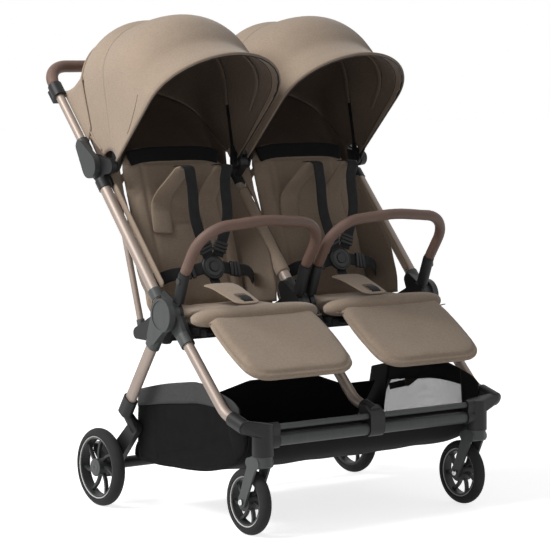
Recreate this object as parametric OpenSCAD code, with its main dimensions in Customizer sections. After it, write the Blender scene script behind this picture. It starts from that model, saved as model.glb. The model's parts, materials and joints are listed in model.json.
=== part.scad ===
// Side by side double stroller: two canopied seats on a folding tube frame.
// Millimetres, +Z up, -Y is the front, X runs across the two seats.

/* [Wheels] */
// Distance between the centre planes of the rear wheels
rear_track = 730; // [710:5:750]
// Rear wheel diameter over the tyre
rear_wheel_d = 178; // [172:1:184]
// Rear tyre width
rear_tyre_w = 30; // [26:1:30]
// Distance between the swivel axes of the front casters
front_track = 600; // [590:2:606]
// Front wheel diameter over the tyre
front_wheel_d = 145; // [140:1:148]
// Front tyre width
front_tyre_w = 26; // [22:1:28]
// Height of the tyre above its rim
tyre_h = 17; // [14:1:19]
// Distance that a front axle trails behind its swivel axis
caster_trail = 50; // [46:1:53]
// Number of wheel spokes
spokes = 7; // [5:1:9]
// Wheel axle diameter
axle_d = 10; // [8:1:12]

/* [Frame] */
// Distance from the rear axle forward to the caster swivel axes
wheelbase = 535; // [525:1:545]
// Distance from the rear axle forward to the hub pivot
hub_forward = 271; // [266:1:276]
// Height of the hub pivot
hub_h = 458; // [450:1:466]
// Slope of the main tubes
main_angle = 48; // [47:0.5:49]
// Distance from the hub pivot to the handle hinge
main_run = 425; // [415:1:435]
// Main tube diameter
main_d = 22; // [20:1:23]
// Wall of the frame tubes
tube_wall = 2; // [1.5:0.1:2.5]
// Slope of the handle tubes
handle_angle = 47; // [46:0.5:48]
// Distance from the handle hinge to the grip axis
handle_run = 307; // [302:1:320]
// Handle tube diameter
handle_d = 20; // [18:1:21]
// Handle grip diameter
grip_d = 28; // [26:1:30]
// Bend radius of the handle corners
handle_bend_r = 56; // [50:1:64]
// Slope of the front legs
leg_angle = 44.6; // [44:0.2:45.4]
// Straight length of a front leg toe below the bend
toe_len = 48; // [45:1:54]
// Slope of the front leg toes below the bend
toe_angle = 16; // [14:1:18]
// Bend radius of the front legs
leg_bend_r = 80; // [70:1:90]
// Front leg diameter
leg_d = 24; // [22:1:25]
// Slope of the rear legs
rear_leg_angle = 55; // [54:0.5:56]
// Distance from the hub pivot to the lower end of a rear leg
rear_leg_run = 275; // [268:1:280]
// Depth of the oval rear leg section
rear_leg_w = 30; // [26:1:31]
// Thickness of the oval rear leg section
rear_leg_t = 18; // [16:1:18]
// Front crossbar diameter
crossbar_d = 26; // [24:1:28]
// Diameter of the thin rim bar above the crossbar
rim_bar_d = 13; // [11:1:14]
// Rear axle beam diameter
beam_d = 26; // [22:1:28]

/* [Seats] */
// Gap between the two seats
pod_gap = 26; // [25:1:30]
// Seat cushion depth, front to back
seat_depth = 196; // [190:1:200]
// Seat cushion thickness
seat_t = 34; // [28:1:38]
// Slope of the backrests
back_angle = 72; // [70:1:74]
// Backrest length above its pivot
back_len = 430; // [420:1:440]
// Backrest padding thickness
back_t = 26; // [22:1:28]
// Backrest tube diameter
back_tube_d = 15; // [13:1:16]
// Leg rest slope below the horizontal
rest_angle = 27; // [24:1:30]
// Leg rest length from the knee hinge
rest_len = 205; // [198:1:212]
// Leg rest padding thickness
rest_t = 28; // [24:1:30]
// Webbing width
webbing_w = 25; // [20:1:28]
// Webbing thickness
webbing_t = 2; // [1.6:0.2:2.4]
// Buckle diameter
buckle_d = 46; // [42:1:50]

/* [Canopy] */
// Distance of the canopy pivot ahead of the handle hinge
canopy_ahead = 57; // [54:1:60]
// Angle of the canopy front rim above the horizontal
rim_angle = 45; // [43:1:47]
// Angle of the front bow
front_bow_angle = 62; // [60:1:64]
// Angle of the middle bow
mid_bow_angle = 101; // [99:1:103]
// Angle of the rear bow
rear_bow_angle = 132; // [130:1:134]
// Reach of the front rim from the pivot
rim_reach = 352; // [345:1:358]
// Reach of the front bow from the pivot
front_reach = 312; // [306:1:318]
// Reach of the middle bow from the pivot
mid_reach = 331; // [326:1:336]
// Reach of the rear bow from the pivot
rear_reach = 340; // [334:1:344]
// Puff of the fabric between the front and the middle bow
crown_puff = 17; // [12:1:20]
// Puff of the fabric between the middle and the rear bow
rear_puff = 9; // [5:1:12]
// Dip of the visor between the rim and the front bow
visor_dip = 13; // [8:1:16]
// Canopy fabric thickness
canopy_t = 3; // [2.5:0.5:3.5]

/* [Bumper bars] */
// Slope of the bumper bar feet
foot_angle = 69; // [68:1:70]
// Length of the bumper bar feet
foot_len = 64; // [60:1:68]
// Diameter of the bumper bar feet
foot_d = 26; // [24:1:27]
// Slope of the bumper bar arch
bumper_angle = 56; // [54:1:58]
// Height of the bumper bar arch in its own plane
bumper_h = 146; // [140:1:152]
// Bumper bar diameter
bumper_d = 24; // [22:1:25]
// Corner radius of the bumper bar
bumper_r = 72; // [66:1:78]
// Diameter of the post that holds a bumper foot
post_d = 16; // [14:1:17]

/* [Basket] */
// Basket width
basket_w = 640; // [600:5:650]
// Height of the basket floor at its lowest
basket_floor = 112; // [106:1:118]
// Basket cloth thickness
basket_t = 3; // [2.5:0.5:4]

/* [Fits] */
// Running gap between a pin and its bore, on the radius
run_gap = 0.05; // [0.03:0.01:0.1]
// Gap between parts that slide or swing past each other
slip_gap = 0.5; // [0.4:0.1:0.6]
// Gap between a soft part and what carries it
soft_gap = 0.3; // [0.3:0.1:0.4]

/* [Hidden] */
$fn = 48;

// Colours
CHAMPAGNE = [0.70, 0.62, 0.57];
GREY = [0.30, 0.31, 0.31];
BLACK = [0.12, 0.12, 0.12];
TAUPE = [0.65, 0.58, 0.51];
BROWN = [0.42, 0.31, 0.27];
TYRE = [0.22, 0.22, 0.21];

// Side view: a point is [y, z], with y = 0 on the rear axle
function away(p, run, angle) = p + run * [cos(angle), sin(angle)];
hub = [-hub_forward, hub_h];
hinge = away(hub, main_run, main_angle);
grip = away(hinge, handle_run, handle_angle);
rear_axle = [0, rear_wheel_d / 2];
front_axle = [-wheelbase + caster_trail, front_wheel_d / 2];
leg_run = (wheelbase - hub_forward - leg_bend_r * (sin(leg_angle) - sin(toe_angle)) -
           toe_len * cos(toe_angle)) / cos(leg_angle);
leg_bend = away(hub, leg_run, 180 + leg_angle);
leg_turn = leg_angle - toe_angle;
leg_arc = leg_bend_r * [-sin(leg_angle) + sin(toe_angle), -cos(toe_angle) + cos(leg_angle)];
toe_start = leg_bend + leg_arc;
toe_end = away(toe_start, toe_len, 180 + toe_angle);
rear_leg_end = away(hub, rear_leg_run, -rear_leg_angle);
canopy_pivot = hinge + [-canopy_ahead, 1];

// Planes across the stroller
frame_x = rear_track / 2;
leg_x = frame_x - 15;
fork_x = front_track / 2;
hinge_split = frame_x + 0.5;
disc_out = hinge_split + slip_gap + 15;
post_out_x = frame_x - 20;
post_mid_x = 17;
rear_leg_x = frame_x + 3;

// Seat pods
pod_out = frame_x - 16;
pod_half = (pod_out - pod_gap / 2) / 2;
seat_x = pod_gap / 2 + pod_half;
back_inset = 20;
back_half = pod_half - back_inset;
eye_half = back_tube_d / 2 + 1;
cheek_in = pod_out - back_inset + eye_half + slip_gap;
cheek_out = cheek_in + 8;
mid_cheek_in = 11;
mid_cheek_out = pod_gap / 2 + back_inset - eye_half - slip_gap;
board_half = pod_half - 26;
board_t = 12;
seat_bar = hub + [31, -51];
seat_bar_d = 22;
board_z = seat_bar.y + seat_bar_d / 2 + soft_gap;
seat_z = board_z + board_t + soft_gap;
recline_axis = hub + [147, -53];
recline_pin_d = 10;
pad_front = back_tube_d / 2 + soft_gap;
seat_back_y = recline_axis.x - 25;
seat_front_y = seat_back_y - seat_depth;
knee_pin_d = 8;
knee_barrel_d = 17;
knee_axis = [seat_front_y - 6, seat_z - slip_gap - knee_barrel_d / 2];
knee_half = board_half - 12;

// Hubs and hinges
core_r = 30;
disc_r = 37.5;
recess = 1.5;
face_wall = 2;
hinge_r = 28;
collar_wall = 4;
main_collar = [44, 68];
leg_collar = [60, 88];
hub_pin_d = 16;
mid_pin_d = 12;
seat_gap = 0.1;
fuse_run = 1.5;
fuse_step = 0.3;

// Front corner castings and casters
toe_socket = 42;
stem_d = 16;
stem_len = 48;
housing_d = 46;
housing_low = front_wheel_d + 31;
housing_high = toe_end.y - 6;
bar_z = housing_low + crossbar_d / 2 + 18;
bar_y = -wheelbase;
rim_bar = [bar_y - 4, bar_z + crossbar_d / 2 + 9 + rim_bar_d / 2];
fork_gap = 2.5;
fork_plate = 5;
fork_in = front_tyre_w / 2 + fork_gap;
fork_out = fork_in + fork_plate;
crown_low = front_wheel_d + 4;
wheel_gap = 0.4;

// Rear wheel brackets and brake
bracket_in = frame_x - rear_tyre_w / 2 - 16;
bracket_out = frame_x - rear_tyre_w / 2 - 2;
pedal_axis = rear_axle + [46, 34];
pedal_pin_d = 8;
pedal_half = 16;

// Handle
collar_run = [212, 246];
collar_d = grip_d + 5;
trigger_w = 10;
trigger_len = 20;
trigger_drop = 9;
trigger_travel = 6;

// Harness buckle, which stands on its crotch strap, and its release button
buckle_t = 12;
buckle_key_d = 22;
buckle_key_h = 6;
buckle_travel = 3;
buckle_tilt = 20;
buckle_rise = 83;
buckle_ahead = 38;
buckle_mid = [seat_back_y - buckle_ahead, seat_z + seat_t + buckle_rise];
crotch_foot = [buckle_mid.x - 28, seat_z + seat_t + soft_gap + webbing_t / 2];

// Backrests and leg rests
back_frame_len = 372;
back_bend_r = 60;
back_low = 45;
strap_pad_w = 44;
strap_pad_t = 8;
strap_pad_x = 50;
strap_back = pad_front + back_t + soft_gap + strap_pad_t / 2;
strap_pad_path = [for (p = [[0, 245], [0, 291], [10, 305], [97, 337], [110, 336], [117, 324], [115, 288]])
                    [-strap_back - p.x, p.y]];
strap_low = [-strap_back - 80, 151];
strap_low_x = 24;
rest_half = pod_half - 18;
rest_board = 5;
rest_lift = 10;
rest_inset = 3;

// Wheel details
wheel_hub_d = 40;
cap_wall = 2;
rim_wall = 7;
spoke_w = 6;

// Middle rear leg, set into the rear beam
middle_leg_d = 20;
beam_axis = rear_axle + [-8, 6];
middle_leg_seat = beam_d / 2 + 2;

// Canopy
bow_w = 8;
bow_step = 0.3;
bow_t = canopy_t;
edge = bow_w / 2 + 0.1;
bow_hub_r = 15;
canopy_pin_d = 10;
bow_root = 30;
bow_fan = bow_root + 4;
canopy_root = bow_fan + 10;
arch_share = 0.405;
arch_steps = 16;
flap_angle = 146;
flap_reach = 280;

// Basket: how far its back stays ahead of the rear axle and of the rear leg ends
basket_back = 52;
basket_behind = 42;

// Bumper bars
foot_base = hub + [-19, 29];
foot_top = away(foot_base, foot_len, 180 - foot_angle);
bumper_half = (post_out_x - post_mid_x) / 2;
bumper_x = (post_out_x + post_mid_x) / 2;
foot_lip = 6;
socket_len = 36;
button_d = 14;
button_up = 50;
button_len = 8;
button_travel = 2.5;
bumper_crown = 6;
bumper_top_r = 300;
button_axis = away(foot_base, button_up, 180 - foot_angle);
button_face = post_out_x + foot_d / 2;

// The rear face of the grip and the front face of the casters set the middle of the length
length_back = grip.x + grip_d / 2;
length_front = wheelbase + housing_d / 2;
y_axle = (length_front - length_back) / 2;

// A rod from p to q
module rod(p, q, d) {
  v = q - p;
  translate(p)
    rotate([0, acos(v.z / norm(v)), atan2(v.y, v.x)])
      cylinder(d = d, h = norm(v));
}

function at(x, p) = [x, p.x, p.y];

// A side view outline, drawn as [y, z], made solid from x0 to x1
module slab(x0, x1) {
  translate([x0, 0, 0])
    rotate([90, 0, 90])
      linear_extrude(x1 - x0)
        children();
}

// A round bar along X at the side view point p
module bar(p, d, x0, x1) {
  slab(x0, x1)
    translate(p)
      circle(d = d);
}

// A side view plate round a list of [point, radius], and a link between two of them
module plate(spots, x0, x1) {
  slab(x0, x1)
    hull()
      for (spot = spots)
        translate(spot[0])
          circle(r = spot[1], $fn = 32);
}

module link(p, q, r0, r1, x0, x1) {
  plate([[p, r0], [q, r1]], x0, x1);
}

// A tube that starts along +Z and bends towards +X: each step is [straight, bend radius, bend angle].
// A straight after a bend starts inside it and is a hair slimmer, so that the two fuse
module bent_tube(d, steps, i = 0) {
  if (i < len(steps)) {
    straight = steps[i][0];
    r = steps[i][1];
    a = steps[i][2];
    into = i > 0 ? fuse_run : 0;
    translate([0, 0, -into])
      cylinder(d = i > 0 ? d - fuse_step : d, h = straight + into);
    if (a > 0)
      translate([r, 0, straight])
        rotate([-90, 0, 0])
          rotate(180)
            rotate_extrude(angle = a)
              translate([r, 0])
                circle(d = d);
    translate([r, 0, straight])
      rotate([0, a, 0])
        translate([-r, 0, 0])
          bent_tube(d, steps, i + 1);
  }
}

module both_sides() {
  children();
  mirror([1, 0, 0])
    children();
}

// Modules for one seat are drawn on the right and mirrored to the left
module seat_side(side) {
  if (side == "left") mirror([1, 0, 0]) children();
  else children();
}

module middle_and_sides(x) {
  for (place = [-x, 0, x])
    translate([place, 0, 0])
      children();
}

// Main tubes, from the hubs to the handle hinges
module main_tube_line(grow = 0, over = 0) {
  rod(at(0, away(hub, main_collar[0] - over, main_angle)),
      at(0, away(hub, main_run - main_collar[0] + over, main_angle)), main_d + grow);
}

module main_tubes() {
  color(CHAMPAGNE)
    middle_and_sides(frame_x)
      difference() {
        main_tube_line();
        main_tube_line(-2 * tube_wall, 1);
      }
}

// Front legs, bent flatter at the toes
module front_leg_line(grow = 0, over = 0) {
  start = leg_collar[0] - over;
  translate(at(0, away(hub, start, 180 + leg_angle)))
    rotate([90 + leg_angle, 0, 0])
      rotate(90)
        bent_tube(leg_d + grow, [[leg_run - start, leg_bend_r, leg_turn],
                                 [toe_len + over, 0, 0]]);
}

module front_legs() {
  color(CHAMPAGNE)
    middle_and_sides(leg_x)
      difference() {
        front_leg_line();
        front_leg_line(-2 * tube_wall, 1);
      }
}

module leg_bore() {
  rod(at(0, away(hub, leg_collar[0], 180 + leg_angle)),
      at(0, away(hub, leg_collar[1] + 1, 180 + leg_angle)), leg_d + 2 * run_gap);
}

module toe_bore() {
  rod(at(0, toe_end), at(0, away(toe_end, toe_socket + 1, toe_angle)), leg_d + 2 * run_gap);
}

// Fold hubs at the sides: cheek, tube collars, fold pin and bumper post
module hub_collars(x_main, x_leg) {
  translate([x_main, 0, 0])
    rod(at(0, away(hub, main_collar[0] - 1, main_angle)),
        at(0, away(hub, main_collar[1], main_angle)), main_d + 2 * collar_wall);
  translate([x_leg, 0, 0])
    rod(at(0, away(hub, leg_collar[0], 180 + leg_angle)),
        at(0, away(hub, leg_collar[1], 180 + leg_angle)), leg_d + 2 * collar_wall);
}

module bumper_post(x) {
  translate([x, 0, 0])
    rod(at(0, away(foot_base, -6, 180 - foot_angle)),
        at(0, away(foot_base, socket_len - 2, 180 - foot_angle)), post_d);
}

module seat_bar_hole(x0, x1) {
  bar(seat_bar, seat_bar_d + 2 * run_gap, x0, x1);
}

module side_hub() {
  difference() {
    union() {
      bar(hub, 2 * core_r, cheek_in, hinge_split);
      bar(hub, hub_pin_d, hinge_split - 1, disc_out - recess - face_wall - slip_gap);
      link(hub, away(hub, main_collar[0] + 4, main_angle), core_r, main_d / 2 + 3,
           cheek_in + 6, hinge_split);
      link(hub, away(hub, leg_collar[0] + 4, 180 + leg_angle), core_r - 6, leg_d / 2 + 2,
           cheek_in, rear_leg_x - rear_leg_t / 2 - slip_gap);
      plate([[hub, core_r - 2], [seat_bar, 17], [recline_axis, 13]], cheek_in, cheek_out);
      bar(recline_axis, recline_pin_d, cheek_in - 16, cheek_in + 1);
      hub_collars(frame_x, leg_x);
      bumper_post(post_out_x);
    }
    translate([frame_x, 0, 0]) main_tube_line(2 * run_gap);
    translate([leg_x, 0, 0]) leg_bore();
    seat_bar_hole(cheek_in - 1, cheek_out - 2);
  }
}

module side_hubs() {
  color(GREY)
    both_sides()
      side_hub();
}

// Fold hub between the seats: two cheeks that straddle the middle rear leg
module middle_cheek() {
  link(hub, away(hub, main_collar[0] + 8, main_angle), core_r, 15, mid_cheek_in, mid_cheek_out);
  link(hub, away(hub, leg_collar[0] + 8, 180 + leg_angle), core_r - 6, 16,
       mid_cheek_in, mid_cheek_out);
  plate([[hub, core_r - 2], [seat_bar, 17], [recline_axis, 13]], mid_cheek_in, mid_cheek_out);
  bar(recline_axis, recline_pin_d, mid_cheek_out - 1, mid_cheek_out + 17);
  bumper_post(post_mid_x);
}

module middle_hub() {
  color(BLACK)
    difference() {
      union() {
        both_sides()
          middle_cheek();
        hub_collars(0, 0);
        bar(hub, mid_pin_d, -mid_cheek_in - 1, mid_cheek_in + 1);
      }
      main_tube_line(2 * run_gap);
      leg_bore();
      both_sides()
        seat_bar_hole(mid_cheek_in + 2, mid_cheek_out + 1);
    }
}

// Lower halves of the handle hinges, each with its canopy pivot
module hinge_base() {
  difference() {
    union() {
      bar(hinge, 2 * hinge_r - 4, frame_x - 14, hinge_split);
      bar(hinge, hub_pin_d - 2, hinge_split - 1, disc_out - face_wall - slip_gap);
      link(hinge, away(hinge, main_collar[0] + 4, 180 + main_angle), hinge_r - 2, main_d / 2 + 3,
           frame_x - 14, hinge_split);
      rod(at(frame_x, away(hinge, main_collar[0] - 1, 180 + main_angle)),
          at(frame_x, away(hinge, main_collar[1], 180 + main_angle)), main_d + 2 * collar_wall);
      link(hinge, canopy_pivot, hinge_r - 4, bow_hub_r + 2, frame_x - 14, hinge_split);
      bar(canopy_pivot, canopy_pin_d, pod_out - 2 * bow_t - 3, frame_x - 13);
    }
    translate([frame_x, 0, 0]) main_tube_line(2 * run_gap);
  }
}

module hinge_bases() {
  color(GREY)
    both_sides()
      hinge_base();
}

// Post on the middle main tube that carries the inner canopy pivots
module canopy_post() {
  half = pod_gap / 2 - 2;
  color(BLACK)
    difference() {
      union() {
        rod(at(0, away(hinge, main_collar[1] + 6, 180 + main_angle)),
            at(0, away(hinge, main_collar[0] - 4, 180 + main_angle)), main_d + 2 * collar_wall);
        link(away(hinge, main_collar[0], 180 + main_angle), canopy_pivot, half, bow_hub_r + 2,
             -half, half);
        bar(canopy_pivot, canopy_pin_d, -half - 2 * bow_t - 5, half + 2 * bow_t + 5);
      }
      main_tube_line(2 * run_gap);
    }
}

// Front corner castings: leg socket, swivel housing and crossbar socket
module front_corner() {
  socket_d = leg_d + 2 * collar_wall;
  back = away(toe_end, toe_socket, toe_angle);
  nose = away(toe_end, -8, toe_angle);
  difference() {
    union() {
      translate([fork_x, -wheelbase, housing_low])
        cylinder(d = housing_d, h = housing_high - housing_low);
      rod(at(leg_x, back), at(leg_x, nose), socket_d);
      hull() {
        translate([leg_x, nose.x + 6, nose.y + 1])
          sphere(d = socket_d - 4, $fn = 32);
        translate([fork_x, -wheelbase, housing_high - 20])
          cylinder(d = housing_d - 1, h = 26, $fn = 32);
      }
      bar([bar_y, bar_z], crossbar_d + 2 * collar_wall, fork_x - housing_d / 2 - 14, fork_x);
      link([bar_y, bar_z], rim_bar, rim_bar_d / 2 + 5, rim_bar_d / 2 + 4,
           fork_x - housing_d / 2 - 14, fork_x);
    }
    translate([fork_x, -wheelbase, housing_low - 1])
      cylinder(d = stem_d + 2 * run_gap, h = stem_len + 2);
    translate([leg_x, 0, 0]) toe_bore();
    crossbar_line(2 * run_gap);
    rim_bar_line(2 * run_gap);
  }
}

module front_castings() {
  color(BLACK) {
    both_sides()
      front_corner();
    crossbar_clamp();
  }
}

// Front crossbar with the thin rim bar above it
module crossbar_line(grow = 0, over = 0) {
  end = fork_x - housing_d / 2 - 2 + over;
  bar([bar_y, bar_z], crossbar_d + grow, -end, end);
}

module rim_bar_line(grow = 0) {
  end = fork_x - housing_d / 2 - 4;
  bar(rim_bar, rim_bar_d + grow, -end, end);
}

module front_crossbar() {
  color(GREY) {
    difference() {
      crossbar_line();
      crossbar_line(-2 * tube_wall, 1);
    }
    rim_bar_line();
  }
}

// Clamp that joins the middle front leg to the crossbar
module crossbar_clamp() {
  half = leg_d / 2 + 8;
  heel = away(toe_end, toe_socket - 8, toe_angle);
  difference() {
    union() {
      link([bar_y, bar_z], rim_bar, crossbar_d / 2 + collar_wall, rim_bar_d / 2 + 6, -half, half);
      rod(at(0, heel), at(0, away(toe_end, -4, toe_angle)),
          leg_d + 2 * collar_wall);
      link(rim_bar, toe_end + [10, 0], rim_bar_d / 2 + 6, leg_d / 2 + 2, -half, half);
    }
    toe_bore();
    crossbar_line(2 * run_gap);
    rim_bar_line(2 * run_gap);
  }
}

// Seat crossbars, from the middle hub out to the side hubs
module seat_crossbars() {
  color(BLACK)
    both_sides()
      difference() {
        bar(seat_bar, seat_bar_d, mid_cheek_in + 2.5, cheek_out - 2.5);
        bar(seat_bar, seat_bar_d - 2 * tube_wall, mid_cheek_in, cheek_out);
      }
}

// Seat boards, each with the lugs and the pin of its leg rest
module seat_board() {
  lug_x = knee_half + slip_gap;
  translate([seat_x, 0, 0]) {
    difference() {
      translate([-board_half, seat_front_y + 8, board_z])
        cube([2 * board_half, seat_back_y - seat_front_y - 12, board_t]);
      for (row = [0 : 2])
        for (i = [-3 : 3])
          translate([i * board_half / 4, seat_back_y - 40 - row * 46, board_z - 1])
            cylinder(d = 18, h = board_t + 2);
    }
    for (side = [-1, 1])
      link(knee_axis, knee_axis + [24, 0], knee_barrel_d / 2, board_t / 2,
           side > 0 ? lug_x : -lug_x - 8, side > 0 ? lug_x + 8 : -lug_x);
    bar(knee_axis, knee_pin_d, -lug_x - 4, lug_x + 4);
  }
}

module seat_boards() {
  color(BLACK)
    both_sides()
      seat_board();
}

// A crowned cushion on the XY plane: sides drawn in, sewn channels across its top
function cushion_edge(u, v, draw) = [1 - draw * (1 - v * v), 1 - draw * (1 - u * u)];
function cushion_top(u, v, t, channels) =
  t * (0.62 + 0.38 * sqrt(max(0, (1 - pow(abs(u), 4)) * (1 - pow(abs(v), 4))))) -
  t * 0.12 * pow(cos(90 * (channels * (v + 1) % 2 - 1)), 8) * (1 - u * u);

module cushion(half_x, half_y, t, channels = 3, draw = 0.03, n = 10) {
  function spot(i) = -cos(180 * i / n);
  function top_point(i, j) = let (u = spot(i), v = spot(j), e = cushion_edge(u, v, draw))
    [half_x * u * e.x, half_y * v * e.y, cushion_top(u, v, t, channels)];
  top = [for (j = [0 : n]) for (i = [0 : n]) top_point(i, j)];
  low = [for (p = top) [p.x, p.y, 0]];
  m = (n + 1) * (n + 1);
  function cell(i, j) = j * (n + 1) + i;
  rim = concat([for (i = [0 : n - 1]) cell(i, 0)], [for (j = [0 : n - 1]) cell(n, j)],
               [for (i = [n : -1 : 1]) cell(i, n)], [for (j = [n : -1 : 1]) cell(0, j)]);
  faces = concat(
    [for (j = [0 : n - 1]) for (i = [0 : n - 1]) [cell(i, j), cell(i + 1, j + 1), cell(i + 1, j)]],
    [for (j = [0 : n - 1]) for (i = [0 : n - 1]) [cell(i, j), cell(i, j + 1), cell(i + 1, j + 1)]],
    [for (k = [0 : len(rim) - 1]) let (a = rim[k], b = rim[(k + 1) % len(rim)]) [a, b, m + b]],
    [for (k = [0 : len(rim) - 1]) let (a = rim[k], b = rim[(k + 1) % len(rim)]) [a, m + b, m + a]],
    [[for (k = [len(rim) - 1 : -1 : 0]) m + rim[len(rim) - 1 - k]]]);
  polyhedron(concat(top, low), faces);
}

// Seat cushions
module seat_pads() {
  color(TAUPE)
    both_sides()
      translate([seat_x, (seat_back_y + seat_front_y) / 2, seat_z])
        cushion(board_half, seat_depth / 2, seat_t);
}

// Padded fabric strips beside the main tubes and the sleeve on the middle one
module side_sleeves() {
  low = 92;
  high = main_run - 92;
  depth = 46;
  inner = pod_out - 10;
  color(TAUPE) {
    both_sides()
      slab(inner, frame_x - main_d / 2 - soft_gap)
        translate(away(hub, low, main_angle))
          rotate(main_angle)
            translate([0, -main_d / 2])
              square([high - low, depth]);
    difference() {
      rod(at(0, away(hub, low, main_angle)), at(0, away(hub, high, main_angle)),
          main_d + 4);
      main_tube_line(2 * soft_gap);
    }
  }
}

// Storage basket, hung between the front crossbar and the rear legs
module basket_side(grow = 0) {
  front = [-wheelbase + housing_d / 2 + soft_gap, bar_z + 6];
  floor_z = basket_floor + grow;
  back_low = [rear_axle.x - basket_back - grow, floor_z + 8];
  back_high = [rear_leg_end.x - basket_behind - grow, rear_leg_end.y + 12];
  over = grow > 0 ? housing_d : 0;
  slope = back_low.x - front.x;
  polygon([front + [grow, over], front + [grow, -12], [front.x + 0.1 * slope + grow, floor_z + 34],
           [front.x + 0.37 * slope, floor_z + 4], [front.x + 0.6 * slope, floor_z],
           [front.x + 0.82 * slope, floor_z], back_low, back_high + [0, over]]);
}

module basket() {
  half = basket_w / 2;
  color(BLACK)
    difference() {
      slab(-half, half) basket_side();
      slab(-half + basket_t, half - basket_t) basket_side(basket_t);
    }
}

// Canopy arch at one reach: straight legs, then half an ellipse over the top
function arch(half, reach, root = canopy_root) =
  concat([[half, root]],
         [for (i = [0 : arch_steps]) let (a = 180 * i / arch_steps)
            [half * cos(a), reach * (1 - arch_share) + reach * arch_share * sin(a)]],
         [[-half, root]]);

function flip(list) = [for (i = [len(list) - 1 : -1 : 0]) list[i]];

function arch_ring(angle, reach, shift = 0) =
  [for (p = concat(arch(pod_half, reach), flip(arch(pod_half - canopy_t, reach - canopy_t))))
     [p.x, canopy_pivot.x - p.y * cos(angle) + shift * sin(angle),
      canopy_pivot.y + p.y * sin(angle) + shift * cos(angle)]];

// Fabric between two arches, with the reach swelling or dipping by puff in between
function reach_between(f, from, to, puff) = from + (to - from) * f + puff * sin(180 * f);

module canopy_panel(rings) {
  n = len(rings[0]);
  half = n / 2;
  last = (len(rings) - 1) * n;
  skin = [for (k = [0 : len(rings) - 2]) for (i = [0 : n - 1])
            let (a = k * n + i, b = k * n + (i + 1) % n) each [[a, a + n, b + n], [a, b + n, b]]];
  cap = [for (i = [0 : half - 2])
           each [[i, i + 1, n - 2 - i], [i, n - 2 - i, n - 1 - i]]];
  far_cap = [for (f = cap) [last + f[2], last + f[1], last + f[0]]];
  translate([seat_x, 0, 0])
    polyhedron([for (r = rings) each r], concat(skin, cap, far_cap));
}

// The first and last ring stand clear of the bows at the two angles by the shifts
function panel_rings(angles, reaches, shifts, puff, n) =
  [for (k = [0 : n]) let (f = k / n)
     arch_ring(angles[0] + (angles[1] - angles[0]) * f,
               reach_between(f, reaches[0], reaches[1], puff),
               shifts[0] + (shifts[1] - shifts[0]) * f)];

// A bow: a flat strip that ends in an eye on the canopy pivot, set in from the outer face by depth
module bow_strip(angle, reach, depth) {
  half = pod_half - depth - bow_step;
  t = bow_t - 2 * bow_step;
  translate(at(seat_x, canopy_pivot))
    rotate([180 - angle, 0, 0])
      linear_extrude(bow_w, center = true)
        polygon(concat(arch(half, reach, bow_root), flip(arch(half - t, reach - t, bow_root))));
}

module bow_eyes(places, depth) {
  spots = concat([[canopy_pivot, bow_hub_r]],
                 [for (place = places) [away(canopy_pivot, bow_fan, 180 - place[0]), bow_w / 2 + 2]]);
  translate([seat_x, 0, 0])
    for (x = [-pod_half + depth, pod_half - depth - bow_t])
      plate(spots, x, x + bow_t);
}

module bow(places, depth) {
  difference() {
    union() {
      for (place = places)
        bow_strip(place[0], place[1], depth);
      bow_eyes(places, depth);
    }
    bar(canopy_pivot, canopy_pin_d + 2 * run_gap, 0, frame_x);
  }
}

// Rear canopy panels, from the middle bow over the rear bow and down towards the handle
module canopy_rear_panels() {
  color(TAUPE)
    both_sides() {
      canopy_panel(concat(
        panel_rings([mid_bow_angle, rear_bow_angle], [mid_reach, rear_reach], [edge, 0],
                    rear_puff, 5),
        [arch_ring((rear_bow_angle + flap_angle) / 2, (rear_reach + flap_reach) / 2 + 8),
         arch_ring(flap_angle, flap_reach)]));
    }
}

module canopy_crown(side) {
  color(TAUPE)
    seat_side(side)
      canopy_panel(panel_rings([front_bow_angle, mid_bow_angle], [front_reach, mid_reach],
                               [edge, -edge], crown_puff, 6));
}

module canopy_visor(side) {
  color(TAUPE)
    seat_side(side)
      canopy_panel(panel_rings([rim_angle, front_bow_angle], [rim_reach, front_reach],
                               [edge, -edge], -visor_dip, 4));
}

module canopy_mid_bow(side) {
  color(GREY)
    seat_side(side)
      bow([[mid_bow_angle, mid_reach]], bow_t + slip_gap);
}

module canopy_front_bow(side) {
  color(GREY)
    seat_side(side)
      bow([[rim_angle, rim_reach], [front_bow_angle, front_reach]], 0);
}

// Harness: the round buckle on its crotch webbing, with the waist webbing to the back of the seat
module at_buckle() {
  translate(at(seat_x, buckle_mid))
    rotate([90 - buckle_tilt, 0, 0])
      translate([0, 0, -buckle_t / 2])
        children();
}

module waist_strap(side) {
  hull() {
    translate([seat_x + side * 16 - 2, buckle_mid.x + 1, buckle_mid.y - webbing_w / 2])
      cube([4, webbing_t, webbing_w]);
    translate([seat_x + side * (board_half - 14) - 2, seat_back_y - 10, seat_z + seat_t + 1])
      cube([4, webbing_t, webbing_w]);
  }
}

module seat_harness() {
  difference() {
    union() {
      at_buckle()
        cylinder(d = buckle_d, h = buckle_t);
      link(buckle_mid + [-4, -16], crotch_foot, webbing_t / 2, webbing_t / 2,
           seat_x - webbing_w / 2, seat_x + webbing_w / 2);
      waist_strap(-1);
      waist_strap(1);
    }
    at_buckle()
      translate([0, 0, buckle_t - buckle_key_h])
        cylinder(d = buckle_key_d + 2 * slip_gap, h = buckle_key_h + 1);
  }
}

module harness() {
  color(BLACK)
    both_sides()
      seat_harness();
}

module buckle_button(side) {
  color(GREY)
    seat_side(side)
      at_buckle()
        translate([0, 0, buckle_t - buckle_key_h + buckle_travel + slip_gap])
          cylinder(d = buckle_key_d, h = buckle_key_h - buckle_travel + 1);
}

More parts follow.
